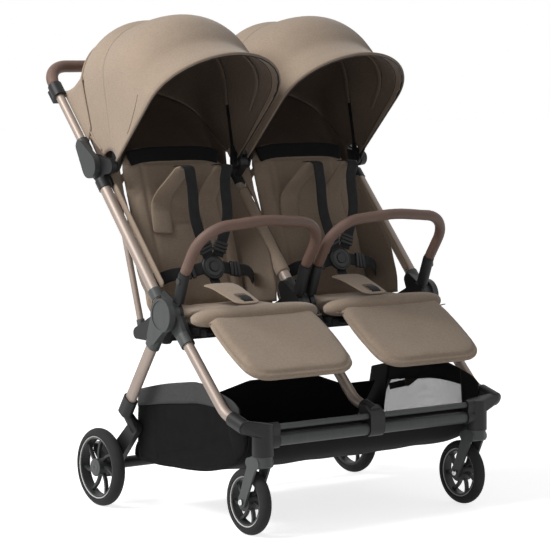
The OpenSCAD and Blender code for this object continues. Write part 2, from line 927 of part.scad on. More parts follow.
// Rear legs: oval tubes at the sides and a round tube in the middle
module stadium(w, t) {
  for (end = [-1, 1])
    translate([0, end * (w - t) / 2])
      circle(d = t);
  square([t, w - t], center = true);
}

// Something drawn along +Z, turned to run down a rear leg from the hub pivot
module down_rear_leg(x, run) {
  translate(at(x, away(hub, run, -rear_leg_angle)))
    rotate([-rear_leg_angle - 90, 0, 0])
      children();
}

module rear_leg_line(grow = 0, over = 0) {
  down_rear_leg(rear_leg_x, leg_collar[0] - over)
    linear_extrude(rear_leg_run - leg_collar[0] + 2 * over)
      stadium(rear_leg_w + grow, rear_leg_t + grow);
}

module middle_rear_leg(grow = 0, over = 0) {
  top = away(hub, leg_collar[1], -rear_leg_angle);
  run = (top - beam_axis) / norm(top - beam_axis);
  rod(at(0, top + over * run), at(0, beam_axis + (middle_leg_seat - over) * run),
      middle_leg_d + grow);
}

module rear_legs() {
  color(CHAMPAGNE) {
    both_sides()
      difference() {
        rear_leg_line();
        rear_leg_line(-2 * tube_wall, 1);
      }
    difference() {
      middle_rear_leg();
      middle_rear_leg(-2 * tube_wall, 1);
    }
  }
}

// Fold discs: the outer half of each hub, which carries the rear leg
module rear_leg_joint() {
  near = hinge_split + slip_gap;
  difference() {
    union() {
      bar(hub, 2 * disc_r, near, disc_out);
      link(hub, away(hub, leg_collar[0], -rear_leg_angle), disc_r - 4, rear_leg_w / 2 + 3,
           near, disc_out);
      down_rear_leg(rear_leg_x, main_collar[0])
        linear_extrude(leg_collar[1] - main_collar[0])
          stadium(rear_leg_w + 2 * collar_wall, rear_leg_t + 2 * collar_wall);
    }
    bar(hub, hub_pin_d + 2 * run_gap, near - 1, disc_out - recess - face_wall);
    rear_leg_line(2 * run_gap);
    bar(hub, 2 * disc_r - 12, disc_out - recess, disc_out + 1);
  }
}

module rear_leg_joints() {
  eye = mid_cheek_in - 1;
  color(GREY) {
    both_sides()
      rear_leg_joint();
    difference() {
      union() {
        bar(hub, 52, -eye, eye);
        rod(at(0, hub), at(0, away(hub, leg_collar[1], -rear_leg_angle)), middle_leg_d);
      }
      bar(hub, mid_pin_d + 2 * run_gap, -eye - 1, eye + 1);
    }
  }
}

// Rear axle beam with the socket of the middle leg
module rear_beam() {
  top = away(hub, leg_collar[1], -rear_leg_angle);
  color(BLACK)
    difference() {
      union() {
        bar(beam_axis, beam_d, -bracket_in - 4, bracket_in + 4);
        rod(at(0, beam_axis), at(0, beam_axis + 44 * (top - beam_axis) / norm(top - beam_axis)),
            middle_leg_d + 2 * collar_wall);
      }
      middle_rear_leg(2 * run_gap);
    }
}

// Rear brackets: leg socket, cheek beside the wheel, stub axle and brake arm
module rear_bracket(brake = false) {
  knee = rear_leg_end + [6, -42];
  difference() {
    union() {
      down_rear_leg(rear_leg_x, rear_leg_run - 34)
        linear_extrude(44)
          stadium(rear_leg_w + 2 * collar_wall, rear_leg_t + 2 * collar_wall);
      hull() {
        down_rear_leg(rear_leg_x, rear_leg_run)
          linear_extrude(6)
            stadium(rear_leg_w + collar_wall, rear_leg_t + collar_wall, $fn = 32);
        bar(knee, 28, bracket_in + 1, bracket_out - 1, $fn = 32);
      }
      link(knee, rear_axle, 17, 24, bracket_in, bracket_out);
      link(rear_axle, pedal_axis, 20, 13, bracket_in, bracket_out);
      bar(rear_axle, axle_d, bracket_out - 1, frame_x + rear_tyre_w / 2 - cap_wall - slip_gap);
      if (brake)
        bar(pedal_axis, pedal_pin_d, bracket_in - 2 * pedal_half - slip_gap, bracket_in + 1);
    }
    rear_leg_line(2 * run_gap);
    bar(beam_axis, beam_d + 2 * run_gap, bracket_in - 1, bracket_in + 4.5);
  }
}

module rear_brackets() {
  color(BLACK) {
    rear_bracket();
    mirror([1, 0, 0])
      rear_bracket(brake = true);
  }
}

// Brake pedal on the left rear bracket
module brake_pedal() {
  in = bracket_in - slip_gap - 2 * pedal_half;
  out = bracket_in - slip_gap;
  tip = pedal_axis + [44, 4];
  color(GREY)
    mirror([1, 0, 0])
      difference() {
        union() {
          bar(pedal_axis, 20, in, out);
          link(pedal_axis, tip, 8, 5, in, out);
        }
        bar(pedal_axis, pedal_pin_d + 2 * run_gap, in - 1, out + 1);
        for (i = [0 : 2])
          bar(tip + [-i * 9, 7.5 + i * 0.5], 5, in - 1, out + 1);
      }
}

// Wheels: drawn round Z, with the outer face up
module tyre_round(d, w) {
  color(TYRE)
    rotate_extrude($fn = 96)
      intersection() {
        union() {
          translate([d / 2 - w / 2, 0])
            circle(d = w);
          translate([d / 2 - tyre_h, -w / 2])
            square([tyre_h - w / 2 + 0.5, w]);
        }
        translate([d / 2 - tyre_h, -w / 2])
          square([tyre_h, w]);
      }
}

module spoke(inner, outer) {
  sweep = outer * 0.9;
  intersection() {
    translate([0, sweep])
      difference() {
        circle(r = sweep + spoke_w / 2);
        circle(r = sweep - spoke_w / 2);
      }
    translate([0, -sweep])
      square([outer, 2 * sweep]);
    difference() {
      circle(r = outer);
      circle(r = inner);
    }
  }
}

module rim_round(d, w, hub_in, hub_out) {
  rim_r = d / 2 - tyre_h - seat_gap;
  color(GREY)
    difference() {
      union() {
        rotate_extrude($fn = 96)
          translate([rim_r - rim_wall, -w / 2 + 3])
            square([rim_wall, w - 6]);
        translate([0, 0, -4])
          linear_extrude(8)
            for (i = [0 : spokes - 1])
              rotate(i * 360 / spokes)
                spoke(wheel_hub_d / 2 - 1, rim_r - rim_wall + 1);
        translate([0, 0, -hub_in])
          cylinder(d = wheel_hub_d, h = hub_in + hub_out);
      }
      translate([0, 0, -hub_in - 1])
        cylinder(d = axle_d + 2 * run_gap, h = hub_in + hub_out + 1 - cap_wall);
    }
}

module rear_wheel_place(side) {
  seat_side(side)
    translate(at(frame_x, rear_axle))
      rotate([0, 90, 0])
        children();
}

module rear_tyre(side) {
  rear_wheel_place(side)
    tyre_round(rear_wheel_d, rear_tyre_w);
}

module rear_rim(side) {
  rear_wheel_place(side)
    rim_round(rear_wheel_d, rear_tyre_w, rear_tyre_w / 2 + 2 - wheel_gap, rear_tyre_w / 2);
}

module front_wheel_place(side) {
  seat_side(side)
    translate(at(fork_x, front_axle))
      rotate([0, 90, 0])
        children();
}

module front_tyre(side) {
  front_wheel_place(side)
    tyre_round(front_wheel_d, front_tyre_w);
}

module front_rim(side) {
  front_wheel_place(side)
    difference() {
      rim_round(front_wheel_d, front_tyre_w, fork_in - wheel_gap, fork_in - wheel_gap);
      cylinder(d = axle_d + 2 * run_gap, h = 3 * fork_in, center = true);
    }
}

// Caster forks: swivel stem, crown, two cheeks and the axle bolt
module caster_fork(side) {
  crown = [-wheelbase + 10, crown_low + 12];
  color(GREY)
    seat_side(side)
      translate([fork_x, 0, 0]) {
        translate([0, -wheelbase, crown_low + 6])
          cylinder(d = 2 * fork_out, h = housing_low - slip_gap - crown_low - 6);
        translate([0, -wheelbase, housing_low - slip_gap - 1])
          cylinder(d = stem_d, h = stem_len + 1);
        link(crown + [-10, 0], crown + [14, 0], 12, 11, -fork_out, fork_out);
        for (x = [-fork_out, fork_in])
          link(crown, front_axle, 15, 12, x, x + fork_plate);
        bar(front_axle, axle_d, -fork_out - 2, fork_out + 2);
      }
}

// Handle: one bent tube with a grip over its bends and crossbar
module along_handle(x) {
  translate(at(x, hinge))
    rotate([handle_angle - 90, 0, 0])
      children();
}

module handle_path(d, from) {
  straight = handle_run - from - handle_bend_r;
  along_handle(-frame_x)
    translate([0, 0, from])
      bent_tube(d, [[straight, handle_bend_r, 90],
                    [2 * (frame_x - handle_bend_r), handle_bend_r, 90],
                    [straight, 0, 0]]);
}

module handle_tube() {
  start = main_collar[0] + 4;
  color(CHAMPAGNE)
    difference() {
      handle_path(handle_d, start);
      handle_path(handle_d - 2 * tube_wall, start - 1);
    }
}

module handle_grip() {
  color(BROWN)
    difference() {
      handle_path(grip_d, collar_run[1]);
      handle_path(handle_d + 2 * run_gap, collar_run[1] - 1);
    }
}

// Upper halves of the handle hinges
module handle_hinge() {
  near = hinge_split + slip_gap;
  difference() {
    union() {
      bar(hinge, 2 * hinge_r, near, disc_out);
      link(hinge, away(hinge, main_collar[1] - 8, handle_angle), hinge_r, handle_d / 2 + 3,
           near, disc_out);
      along_handle(frame_x)
        translate([0, 0, main_collar[0]])
          cylinder(d = handle_d + 2 * collar_wall, h = main_collar[1] - main_collar[0] + 8);
    }
    bar(hinge, hub_pin_d - 2 + 2 * run_gap, near - 1, disc_out - face_wall);
    along_handle(frame_x)
      translate([0, 0, main_collar[0] + 4])
        cylinder(d = handle_d + 2 * run_gap, h = main_collar[1]);
  }
}

module handle_hinges() {
  color(GREY)
    both_sides()
      handle_hinge();
}

// Collars below the grip, each with the slot of its fold trigger
module handle_collar() {
  h = collar_run[1] - collar_run[0];
  slot = trigger_w + 2 * slip_gap;
  along_handle(frame_x)
    translate([0, 0, collar_run[0]])
      difference() {
        union() {
          cylinder(d = collar_d, h = h);
          translate([-slot / 2 - 3, 0, 0])
            cube([slot + 6, collar_d / 2 + trigger_drop - 2, h]);
        }
        translate([-slot / 2, collar_d / 2 + 0.5, 3])
          cube([slot, trigger_drop, trigger_len + trigger_travel + 2 * slip_gap]);
        translate([0, 0, -1])
          cylinder(d = handle_d + 2 * run_gap, h = h + 2);
      }
}

module handle_collars() {
  color(BLACK)
    both_sides()
      handle_collar();
}

module fold_trigger(side) {
  color(GREY)
    seat_side(side)
      along_handle(frame_x)
        translate([-trigger_w / 2, collar_d / 2 + 0.5 + soft_gap, collar_run[0] + 3 + slip_gap])
          cube([trigger_w, trigger_drop, trigger_len]);
}

// Backrests: bent tube frame on the recline pins
module along_back() {
  translate(at(seat_x, recline_axis))
    rotate([back_angle - 90, 0, 0])
      children();
}

module backrest_frame(side) {
  r = back_bend_r;
  straight = back_frame_len - r;
  color(CHAMPAGNE)
    seat_side(side)
      difference() {
        union() {
          along_back()
            translate([-back_half, 0, 0])
              bent_tube(back_tube_d, [[straight, r, 90], [2 * (back_half - r), r, 90],
                                      [straight, 0, 0]]);
          for (x = [-back_half, back_half])
            bar(recline_axis, recline_pin_d + 14, seat_x + x - eye_half, seat_x + x + eye_half);
        }
        bar(recline_axis, recline_pin_d + 2 * run_gap, 0, frame_x);
      }
}

module backrest_pad(side) {
  color(TAUPE)
    seat_side(side)
      along_back()
        translate([0, -pad_front, (back_low + back_len) / 2])
          rotate([90, 0, 0])
            cushion(board_half, (back_len - back_low) / 2, back_t, 4);
}

// A flat outline of half thickness r along a path
function unit(v) = v / norm(v);
function turned(v) = [-v.y, v.x];
function joint_side(path, i) =
  let (last = len(path) - 1,
       into = turned(unit(path[max(i, 1)] - path[max(i, 1) - 1])),
       from = turned(unit(path[min(i, last - 1) + 1] - path[min(i, last - 1)])),
       mid = unit(into + from))
    mid / (mid * into);
function strip_outline(path, r) =
  concat([for (i = [0 : len(path) - 1]) path[i] + r * joint_side(path, i)],
         [for (i = [len(path) - 1 : -1 : 0]) path[i] - r * joint_side(path, i)]);

// Shoulder pads: they lie on the backrest, stand forward from it and end in the shoulder straps
module shoulder_pads(side) {
  start = strap_pad_path[len(strap_pad_path) - 1];
  color(TAUPE)
    seat_side(side)
      along_back()
        for (out = [-1, 1]) {
          x = out * strap_pad_x;
          slab(x - strap_pad_w / 2, x + strap_pad_w / 2)
            polygon(strip_outline(strap_pad_path, strap_pad_t / 2));
          hull() {
            translate([x - webbing_w / 2, start.x - webbing_t / 2, start.y + 3])
              cube([webbing_w, webbing_t, 2]);
            translate([out * strap_low_x - webbing_w / 2, strap_low.x - webbing_t / 2, strap_low.y])
              cube([webbing_w, webbing_t, 2]);
          }
        }
}

// Leg rests: board with a hinge barrel and a cushion on top
module legrest(side) {
  color(TAUPE)
    seat_side(side)
      difference() {
        union() {
          translate(at(seat_x, knee_axis))
            rotate([rest_angle + 90, 0, 0]) {
              translate([-knee_half + rest_inset, -rest_board / 2, knee_barrel_d / 2 - 3])
                cube([2 * (knee_half - rest_inset), rest_board / 2 + rest_lift, rest_len / 2]);
              translate([0, rest_lift - 0.5, (rest_len + knee_barrel_d) / 2])
                rotate([-90, 0, 0])
                  cushion(rest_half, (rest_len - knee_barrel_d) / 2, rest_t, 2);
            }
          bar(knee_axis, knee_barrel_d, seat_x - knee_half, seat_x + knee_half);
        }
        bar(knee_axis, knee_pin_d + 2 * run_gap, seat_x - knee_half - 1, seat_x + knee_half + 1);
      }
}

// Bumper bars: padded arch on two feet
module bumper_bar(side) {
  flat = 90 - bumper_crown;
  crown_s = sin(bumper_crown);
  crown_c = cos(bumper_crown);
  slope = (bumper_half - bumper_r * (1 - crown_s) - bumper_top_r * crown_s) / crown_c;
  straight = bumper_h - bumper_r * crown_c - slope * crown_s - bumper_top_r * (1 - crown_c);
  run = straight - foot_lip - run_gap;
  color(BROWN)
    seat_side(side)
      translate(at(bumper_x - bumper_half, away(foot_top, foot_lip + run_gap, 180 - bumper_angle)))
        rotate([90 - bumper_angle, 0, 0])
          bent_tube(bumper_d, [[run, bumper_r, flat], [slope, bumper_top_r, 2 * bumper_crown],
                               [slope, bumper_r, flat], [run, 0, 0]]);
}

module bumper_feet(side) {
  color(BLACK)
    seat_side(side)
      difference() {
        for (x = [post_mid_x, post_out_x]) {
          rod(at(x, foot_base), at(x, away(foot_top, 2, 180 - foot_angle)), foot_d);
          rod(at(x, away(foot_top, -2, 180 - bumper_angle)),
              at(x, away(foot_top, foot_lip, 180 - bumper_angle)), foot_d - 1);
        }
        for (x = [post_mid_x, post_out_x])
          rod(at(x, away(foot_base, -1, 180 - foot_angle)),
              at(x, away(foot_base, socket_len, 180 - foot_angle)), post_d + 2 * run_gap);
        bar(button_axis, button_d + 2 * slip_gap, button_face - button_len, button_face + 1);
      }
}

module bumper_button(side) {
  color(GREY)
    seat_side(side)
      bar(button_axis, button_d, button_face - button_len + button_travel + slip_gap,
          button_face + 1);
}

module centred() {
  translate([0, y_axle, 0])
    children();
}

centred() main_tubes();
centred() front_legs();
centred() side_hubs();
centred() middle_hub();
centred() hinge_bases();
centred() canopy_post();
centred() front_castings();
centred() front_crossbar();
centred() seat_crossbars();
centred() seat_boards();
centred() seat_pads();
centred() side_sleeves();
centred() basket();
centred() canopy_rear_panels();
centred() harness();
centred() buckle_button("left");  // buckle_button_left
centred() buckle_button("right");  // buckle_button_right
centred() rear_legs();
centred() rear_leg_joints();
centred() rear_beam();
centred() rear_brackets();
centred() brake_pedal();
centred() rear_tyre("left");  // rear_tyre_left
centred() rear_rim("left");  // rear_rim_left
centred() rear_tyre("right");  // rear_tyre_right
centred() rear_rim("right");  // rear_rim_right
centred() caster_fork("left");  // caster_fork_left
centred() caster_fork("right");  // caster_fork_right
centred() front_tyre("left");  // front_tyre_left
centred() front_rim("left");  // front_rim_left
centred() front_tyre("right");  // front_tyre_right
centred() front_rim("right");  // front_rim_right
centred() handle_tube();
centred() handle_grip();
centred() handle_hinges();
centred() handle_collars();
centred() fold_trigger("left");  // fold_trigger_left
centred() fold_trigger("right");  // fold_trigger_right
centred() backrest_frame("left");  // backrest_frame_left
centred() backrest_frame("right");  // backrest_frame_right
centred() backrest_pad("left");  // backrest_pad_left
centred() backrest_pad("right");  // backrest_pad_right
centred() shoulder_pads("left");  // shoulder_pads_left
centred() shoulder_pads("right");  // shoulder_pads_right
centred() legrest("left");  // legrest_left
centred() legrest("right");  // legrest_right
centred() canopy_crown("left");  // canopy_crown_left
centred() canopy_crown("right");  // canopy_crown_right
centred() canopy_visor("left");  // canopy_visor_left
centred() canopy_visor("right");  // canopy_visor_right
centred() canopy_mid_bow("left");  // canopy_mid_bow_left
centred() canopy_mid_bow("right");  // canopy_mid_bow_right
centred() canopy_front_bow("left");  // canopy_front_bow_left
centred() canopy_front_bow("right");  // canopy_front_bow_right
centred() bumper_bar("left");  // bumper_bar_left
centred() bumper_bar("right");  // bumper_bar_right
centred() bumper_feet("left");  // bumper_feet_left
centred() bumper_feet("right");  // bumper_feet_right
centred() bumper_button("left");  // bumper_button_left
centred() bumper_button("right");  // bumper_button_right
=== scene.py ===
"""Fabric, leather, webbing and finishes of a side by side double stroller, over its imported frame."""

import json
import math

import bmesh
import bpy
import numpy as np
from mathutils import Matrix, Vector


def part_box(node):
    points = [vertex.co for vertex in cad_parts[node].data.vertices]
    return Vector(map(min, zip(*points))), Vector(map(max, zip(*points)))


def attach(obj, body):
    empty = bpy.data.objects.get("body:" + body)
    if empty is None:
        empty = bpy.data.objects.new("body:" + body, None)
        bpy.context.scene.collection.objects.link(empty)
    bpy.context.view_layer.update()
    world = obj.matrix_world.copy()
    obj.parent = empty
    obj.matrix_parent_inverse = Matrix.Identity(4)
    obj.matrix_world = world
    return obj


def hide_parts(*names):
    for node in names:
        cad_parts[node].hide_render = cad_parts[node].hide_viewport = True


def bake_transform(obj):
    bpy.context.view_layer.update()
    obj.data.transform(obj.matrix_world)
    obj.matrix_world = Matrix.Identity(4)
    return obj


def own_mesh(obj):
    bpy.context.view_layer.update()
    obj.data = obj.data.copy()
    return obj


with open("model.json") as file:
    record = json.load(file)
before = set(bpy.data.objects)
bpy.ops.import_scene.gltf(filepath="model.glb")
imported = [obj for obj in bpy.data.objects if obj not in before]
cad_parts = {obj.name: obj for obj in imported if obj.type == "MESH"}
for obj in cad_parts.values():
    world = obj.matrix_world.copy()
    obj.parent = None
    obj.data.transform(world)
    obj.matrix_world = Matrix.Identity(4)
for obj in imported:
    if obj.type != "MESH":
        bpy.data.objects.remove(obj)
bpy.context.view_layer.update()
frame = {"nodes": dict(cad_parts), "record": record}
nodes = frame["nodes"]
scene = bpy.context.scene

# Lengths below are millimetres in the frame of the part's source: y = 0 on the rear axle, -y to the front.
# A side view point is (y, z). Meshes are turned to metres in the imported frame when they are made.
Y_AXLE = 160.623
SIDES = {"left": -1, "right": 1}
SEAT_X = 181.0
POD_HALF = 168.0
HUB = np.array([-271.0, 458.0])
HINGE = np.array([13.38, 773.84])
CANOPY_PIVOT = np.array([-43.62, 774.84])
RECLINE_AXIS = np.array([-124.0, 405.0])
FOOT_TOP = np.array([-312.94, 546.75])
REAR_AXLE = np.array([0.0, 89.0])
FRONT_AXLE = np.array([-485.0, 72.5])
BUCKLE_MID = np.array([-187.0, 547.6])


def heading(angle):
    a = math.radians(angle)
    return np.array([math.cos(a), math.sin(a)])


MAIN_DIR, HANDLE_DIR, BACK_DIR = heading(48), heading(47), heading(72)
BACK_FRONT = np.array([-BACK_DIR[1], BACK_DIR[0]])


def metres(points):
    return (np.asarray(points, float) + [0, Y_AXLE, 0]) / 1000


def at(x, p):
    """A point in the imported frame, in metres, at x across and at the side view point p."""
    return tuple(metres([x, p[0], p[1]]))


def lift(x, p):
    """Millimetre points from x values and side view points."""
    p = np.asarray(p, float)
    return np.column_stack([np.broadcast_to(x, len(p)), p])


# Curves


def smooth(xs, ys, x):
    """A curve through the points (xs, ys), read at x."""
    xs, ys, x = np.asarray(xs, float), np.asarray(ys, float), np.asarray(x, float)
    slope = np.gradient(ys, xs, axis=0)
    i = np.clip(np.searchsorted(xs, x) - 1, 0, len(xs) - 2)
    h = xs[i + 1] - xs[i]
    t = (x - xs[i]) / h
    shape = (-1,) + (1,) * (ys.ndim - 1)
    t, h = t.reshape(shape), h.reshape(shape)
    return (
        ys[i] * (1 + 2 * t) * (1 - t) ** 2
        + slope[i] * h * t * (1 - t) ** 2
        + ys[i + 1] * t * t * (3 - 2 * t)
        + slope[i + 1] * h * t * t * (t - 1)
    )


def along(points, n, closed=False):
    """n points spread evenly along a broken line."""
    p = np.asarray(points, float)
    if closed:
        p = np.vstack([p, p[:1]])
    run = np.concatenate([[0], np.cumsum(np.linalg.norm(np.diff(p, axis=0), axis=1))])
    s = np.linspace(0, run[-1], n + 1)[:-1] if closed else np.linspace(0, run[-1], n)
    return np.column_stack([np.interp(s, run, p[:, k]) for k in range(p.shape[1])])


def curve(points, n):
    """n points spread evenly along a smooth curve through the points."""
    p = np.asarray(points, float)
    run = np.concatenate([[0], np.cumsum(np.linalg.norm(np.diff(p, axis=0), axis=1))])
    return along(smooth(run, p, np.linspace(0, run[-1], 8 * n)), n)


def turtle(steps, per=2.5):
    """A flat path that starts along +y at the origin and bends towards +x: steps of (straight, radius, angle)."""
    p, a, path = np.zeros(2), math.pi / 2, [np.zeros(2)]
    for straight, radius, angle in steps:
        p = p + straight * np.array([math.cos(a), math.sin(a)])
        path.append(p)
        for _ in range(count := int(angle / per)):
            turn = math.radians(angle) / count
            a -= turn / 2
            p = p + 2 * radius * math.sin(turn / 2) * np.array([math.cos(a), math.sin(a)])
            a -= turn / 2
            path.append(p)
    return np.array(path)


def unit(v):
    return v / np.maximum(np.linalg.norm(v, axis=-1, keepdims=True), 1e-9)


# Meshes


def add_object(name, verts, faces, materials, face_materials=None, uvs=None, outward=False):
    mesh = bpy.data.meshes.new(name)
    mesh.from_pydata([tuple(v) for v in metres(verts)], [], [tuple(map(int, f)) for f in faces])
    for m in materials:
        mesh.materials.append(m)
    if face_materials is not None:
        mesh.polygons.foreach_set("material_index", np.asarray(face_materials, np.int32))
    mesh.polygons.foreach_set("use_smooth", [True] * len(mesh.polygons))
    if uvs is not None:
        corner = np.zeros(len(mesh.loops), np.int32)
        mesh.loops.foreach_get("vertex_index", corner)
        layer = mesh.uv_layers.new(name="along")
        layer.data.foreach_set("uv", np.asarray(uvs, np.float32)[corner].ravel())
    if outward:
        bm = bmesh.new()
        bm.from_mesh(mesh)
        bmesh.ops.recalc_face_normals(bm, faces=bm.faces)
        bm.to_mesh(mesh)
        bm.free()
    obj = bpy.data.objects.new(name, mesh)
    scene.collection.objects.link(obj)
    return obj


def grid_faces(nu, nv, base=0):
    i, j = np.meshgrid(np.arange(nu - 1), np.arange(nv - 1), indexing="ij")
    a = base + i * nv + j
    return np.stack([a, a + 1, a + nv + 1, a + nv], -1).reshape(-1, 4)


def shell(name, outer, inner, materials, inner_material=None):
    """A closed sheet between two grids. Materials are outer, inner and edge."""
    nu, nv = outer.shape[:2]
    count = nu * nv
    ring = [(i, 0) for i in range(nu)] + [(nu - 1, j) for j in range(1, nv)]
    ring += [(i, nv - 1) for i in range(nu - 2, -1, -1)] + [(0, j) for j in range(nv - 2, 0, -1)]
    ring = [i * nv + j for i, j in ring]
    edge = [(a, b, b + count, a + count) for a, b in zip(ring, ring[1:] + ring[:1])]
    out, back = grid_faces(nu, nv), grid_faces(nu, nv, count)[:, ::-1]
    inside = np.full(len(back), 1) if inner_material is None else np.repeat(inner_material, nv - 1)
    kinds = np.concatenate([np.zeros(len(out)), inside, np.full(len(edge), 2)])
    uv = np.zeros((nu, nv, 2))
    uv[1:, :, 0] = np.cumsum(np.linalg.norm(np.diff(outer, axis=0), axis=2), axis=0)
    uv[:, 1:, 1] = np.cumsum(np.linalg.norm(np.diff(outer, axis=1), axis=2), axis=1)
    uv = uv.reshape(-1, 2) / 1000
    return add_object(
        name,
        np.vstack([outer.reshape(-1, 3), inner.reshape(-1, 3)]),
        [*out, *back, *edge],
        materials,
        kinds,
        np.vstack([uv, uv]),
        outward=True,
    )


def grid_normals(grid):
    du, dv = np.gradient(grid, axis=0), np.gradient(grid, axis=1)
    return unit(np.cross(du, dv))


def cloth(name, grid, half, materials, normal=None):
    """A thin closed sheet, half as thick on each side of a grid."""
    normal = grid_normals(grid) if normal is None else normal
    return shell(name, grid + normal * half, grid - normal * half, materials)


def grid_area(grid):
    """Area of a grid in square metres."""
    a, b, c, d = grid[:-1, :-1], grid[1:, :-1], grid[1:, 1:], grid[:-1, 1:]
    cross = np.linalg.norm(np.cross(b - a, c - a), axis=2) + np.linalg.norm(np.cross(c - a, d - a), axis=2)
    return float(cross.sum()) / 2e6


def sweep(name, path, section, material, up=None, closed=False, scale=None):
    """A section of (across, up) points carried along a path."""
    p = np.asarray(path, float)
    n, m = len(p), len(section)
    if closed:
        tangent = unit(np.roll(p, -1, 0) - np.roll(p, 1, 0))
    else:
        tangent = unit(np.gradient(p, axis=0))
    if up is None:
        top = np.zeros_like(p)
        v = np.cross(tangent[0], [0.31, 0.87, 0.38])
        for i in range(n):
            v = v - tangent[i] * (v @ tangent[i])
            v = v / np.linalg.norm(v)
            top[i] = v
    else:
        top = np.broadcast_to(np.asarray(up, float), p.shape)
        top = unit(top - tangent * np.sum(top * tangent, axis=1, keepdims=True))
    across = np.cross(tangent, top)
    sec = np.asarray(section, float)
    grow = np.ones(n) if scale is None else np.asarray(scale, float)
    verts = (
        p[:, None]
        + across[:, None] * (sec[None, :, :1] * grow[:, None, None])
        + top[:, None] * (sec[None, :, 1:] * grow[:, None, None])
    ).reshape(-1, 3)
    faces = []
    for i in range(n if closed else n - 1):
        a, b = i * m, (i + 1) % n * m
        faces += [(a + j, a + (j + 1) % m, b + (j + 1) % m, b + j) for j in range(m)]
    if not closed:
        faces += [tuple(range(m))[::-1], tuple(range((n - 1) * m, n * m))]
    run = np.concatenate([[0], np.cumsum(np.linalg.norm(np.diff(p, axis=0), axis=1))]) / 1000
    uvs = np.column_stack([np.tile(sec[:, 0], n) / 1000, np.repeat(run, m)])
    return add_object(name, verts, faces, [material], None, uvs, outward=True)


def circle(r, m=12):
    a = np.arange(m) * 2 * math.pi / m
    return np.column_stack([r * np.cos(a), r * np.sin(a)])


def flat_section(w, t, bulge=0.0):
    """A flat strap's section, thicker in the middle by bulge."""
    x = np.array([-0.5, -0.46, -0.3, 0, 0.3, 0.46, 0.5, 0.46, 0.3, 0, -0.3, -0.46]) * w
    top = t / 2 * np.array([0, 0.8, 1, 1, 1, 0.8, 0, -0.8, -1, -1, -1, -0.8])
    crown = bulge / 2 * np.array([0, 0.3, 0.8, 1, 0.8, 0.3, 0, -0.3, -0.8, -1, -0.8, -0.3])
    return np.column_stack([x, top + crown])


def oblong(w, h, power=2.6, m=28):
    a = np.arange(m) * 2 * math.pi / m
    c, s = np.cos(a), np.sin(a)
    return np.column_stack(
        [w / 2 * np.sign(c) * np.abs(c) ** (2 / power), h / 2 * np.sign(s) * np.abs(s) ** (2 / power)]
    )


def tube(name, path, r, material, m=10, closed=False):
    return sweep(name, path, circle(r, m), material, closed=closed)


def stitches(name, path, up, material, pitch=4.2, length=2.8, r=0.42):
    """A row of thread stitches that lies on a surface whose normal is up."""
    p = np.asarray(path, float)
    total = np.linalg.norm(np.diff(p, axis=0), axis=1).sum()
    n = max(3, int(total / pitch))
    q = along(p, n)
    ups = np.asarray(up, float)
    if ups.ndim == 2:
        ups = along(np.hstack([p, ups]), n)[:, 3:] if len(ups) == len(p) else ups
    tangent = unit(np.gradient(q, axis=0))
    top = np.broadcast_to(ups, q.shape)
    top = unit(top - tangent * np.sum(top * tangent, axis=1, keepdims=True))
    across = np.cross(tangent, top)
    half = length / 2
    verts, faces = [], []
    for i in range(n):
        base = len(verts)
        verts.append(q[i] - tangent[i] * half)
        for s in (-half * 0.7, half * 0.7):
            for k in range(5):
                a = 2 * math.pi * k / 5
                verts.append(q[i] + tangent[i] * s + across[i] * r * math.cos(a) + top[i] * r * math.sin(a))
        verts.append(q[i] + tangent[i] * half)
        for k in range(5):
            k2 = (k + 1) % 5
            faces.append((base, base + 1 + k2, base + 1 + k))
            faces.append((base + 1 + k, base + 1 + k2, base + 6 + k2, base + 6 + k))
            faces.append((base + 11, base + 6 + k, base + 6 + k2))
    return add_object(name, verts, faces, [material])


def rounded(corners, radii, per=7):
    """A closed outline with rounded corners."""
    c = np.asarray(corners, float)
    out = []
    for i, r in enumerate(radii):
        p, a, b = c[i], c[i - 1], c[(i + 1) % len(c)]
        da, db = unit(a - p), unit(b - p)
        for t in np.linspace(0, 1, per):
            out.append(p + da * r * (1 - t) ** 2 + db * r * t**2)
    return np.array(out)


class Frame3:
    """Axes of a pad: u across, v along, n out of its face."""

    def __init__(self, origin, u, v, n):
        self.o, self.u, self.v, self.n = (np.asarray(k, float) for k in (origin, u, v, n))

    def out(self, u, v, n):
        u, v, n = np.broadcast_arrays(u, v, n)
        return self.o + u[..., None] * self.u + v[..., None] * self.v + n[..., None] * self.n

    def read(self, points):
        d = np.asarray(points, float) - self.o
        return d @ self.u, d @ self.v, d @ self.n


def pillow(name, outline, low, high, axes, material, around=112, rings=15, hard=(5, 14), centre=None):
    """A closed crowned pad over an outline, between two heights."""
    edge = along(outline, around, closed=True)
    mid = edge.mean(0) if centre is None else np.asarray(centre, float)
    share = 1 - (1 - np.linspace(0, 1, rings + 1)[1:]) ** 1.5
    half = (high - low) / 2
    verts, faces = [], []
    for top, power in ((1, hard[0]), (-1, hard[1])):
        base = len(verts)
        verts.append(axes.out(*mid, (high + low) / 2 + top * half))
        for r in share[:-1] if top < 0 else share:
            n = (high + low) / 2 + top * half * math.sqrt(max(0.0, 1 - r**power))
            ring = mid + (edge - mid) * r
            verts.extend(axes.out(ring[:, 0], ring[:, 1], np.full(around, n)))
        faces += [(base, base + 1 + k, base + 1 + (k + 1) % around) for k in range(around)]
        count = rings if top > 0 else rings - 1
        for q in range(count - 1):
            a, b = base + 1 + q * around, base + 1 + (q + 1) * around
            faces += [(a + k, b + k, b + (k + 1) % around, a + (k + 1) % around) for k in range(around)]
        if top > 0:
            rim = base + 1 + (count - 1) * around
        else:
            a = base + 1 + (count - 1) * around
            faces += [(a + k, rim + k, rim + (k + 1) % around, a + (k + 1) % around) for k in range(around)]
    return add_object(name, verts, faces, [material], outward=True)


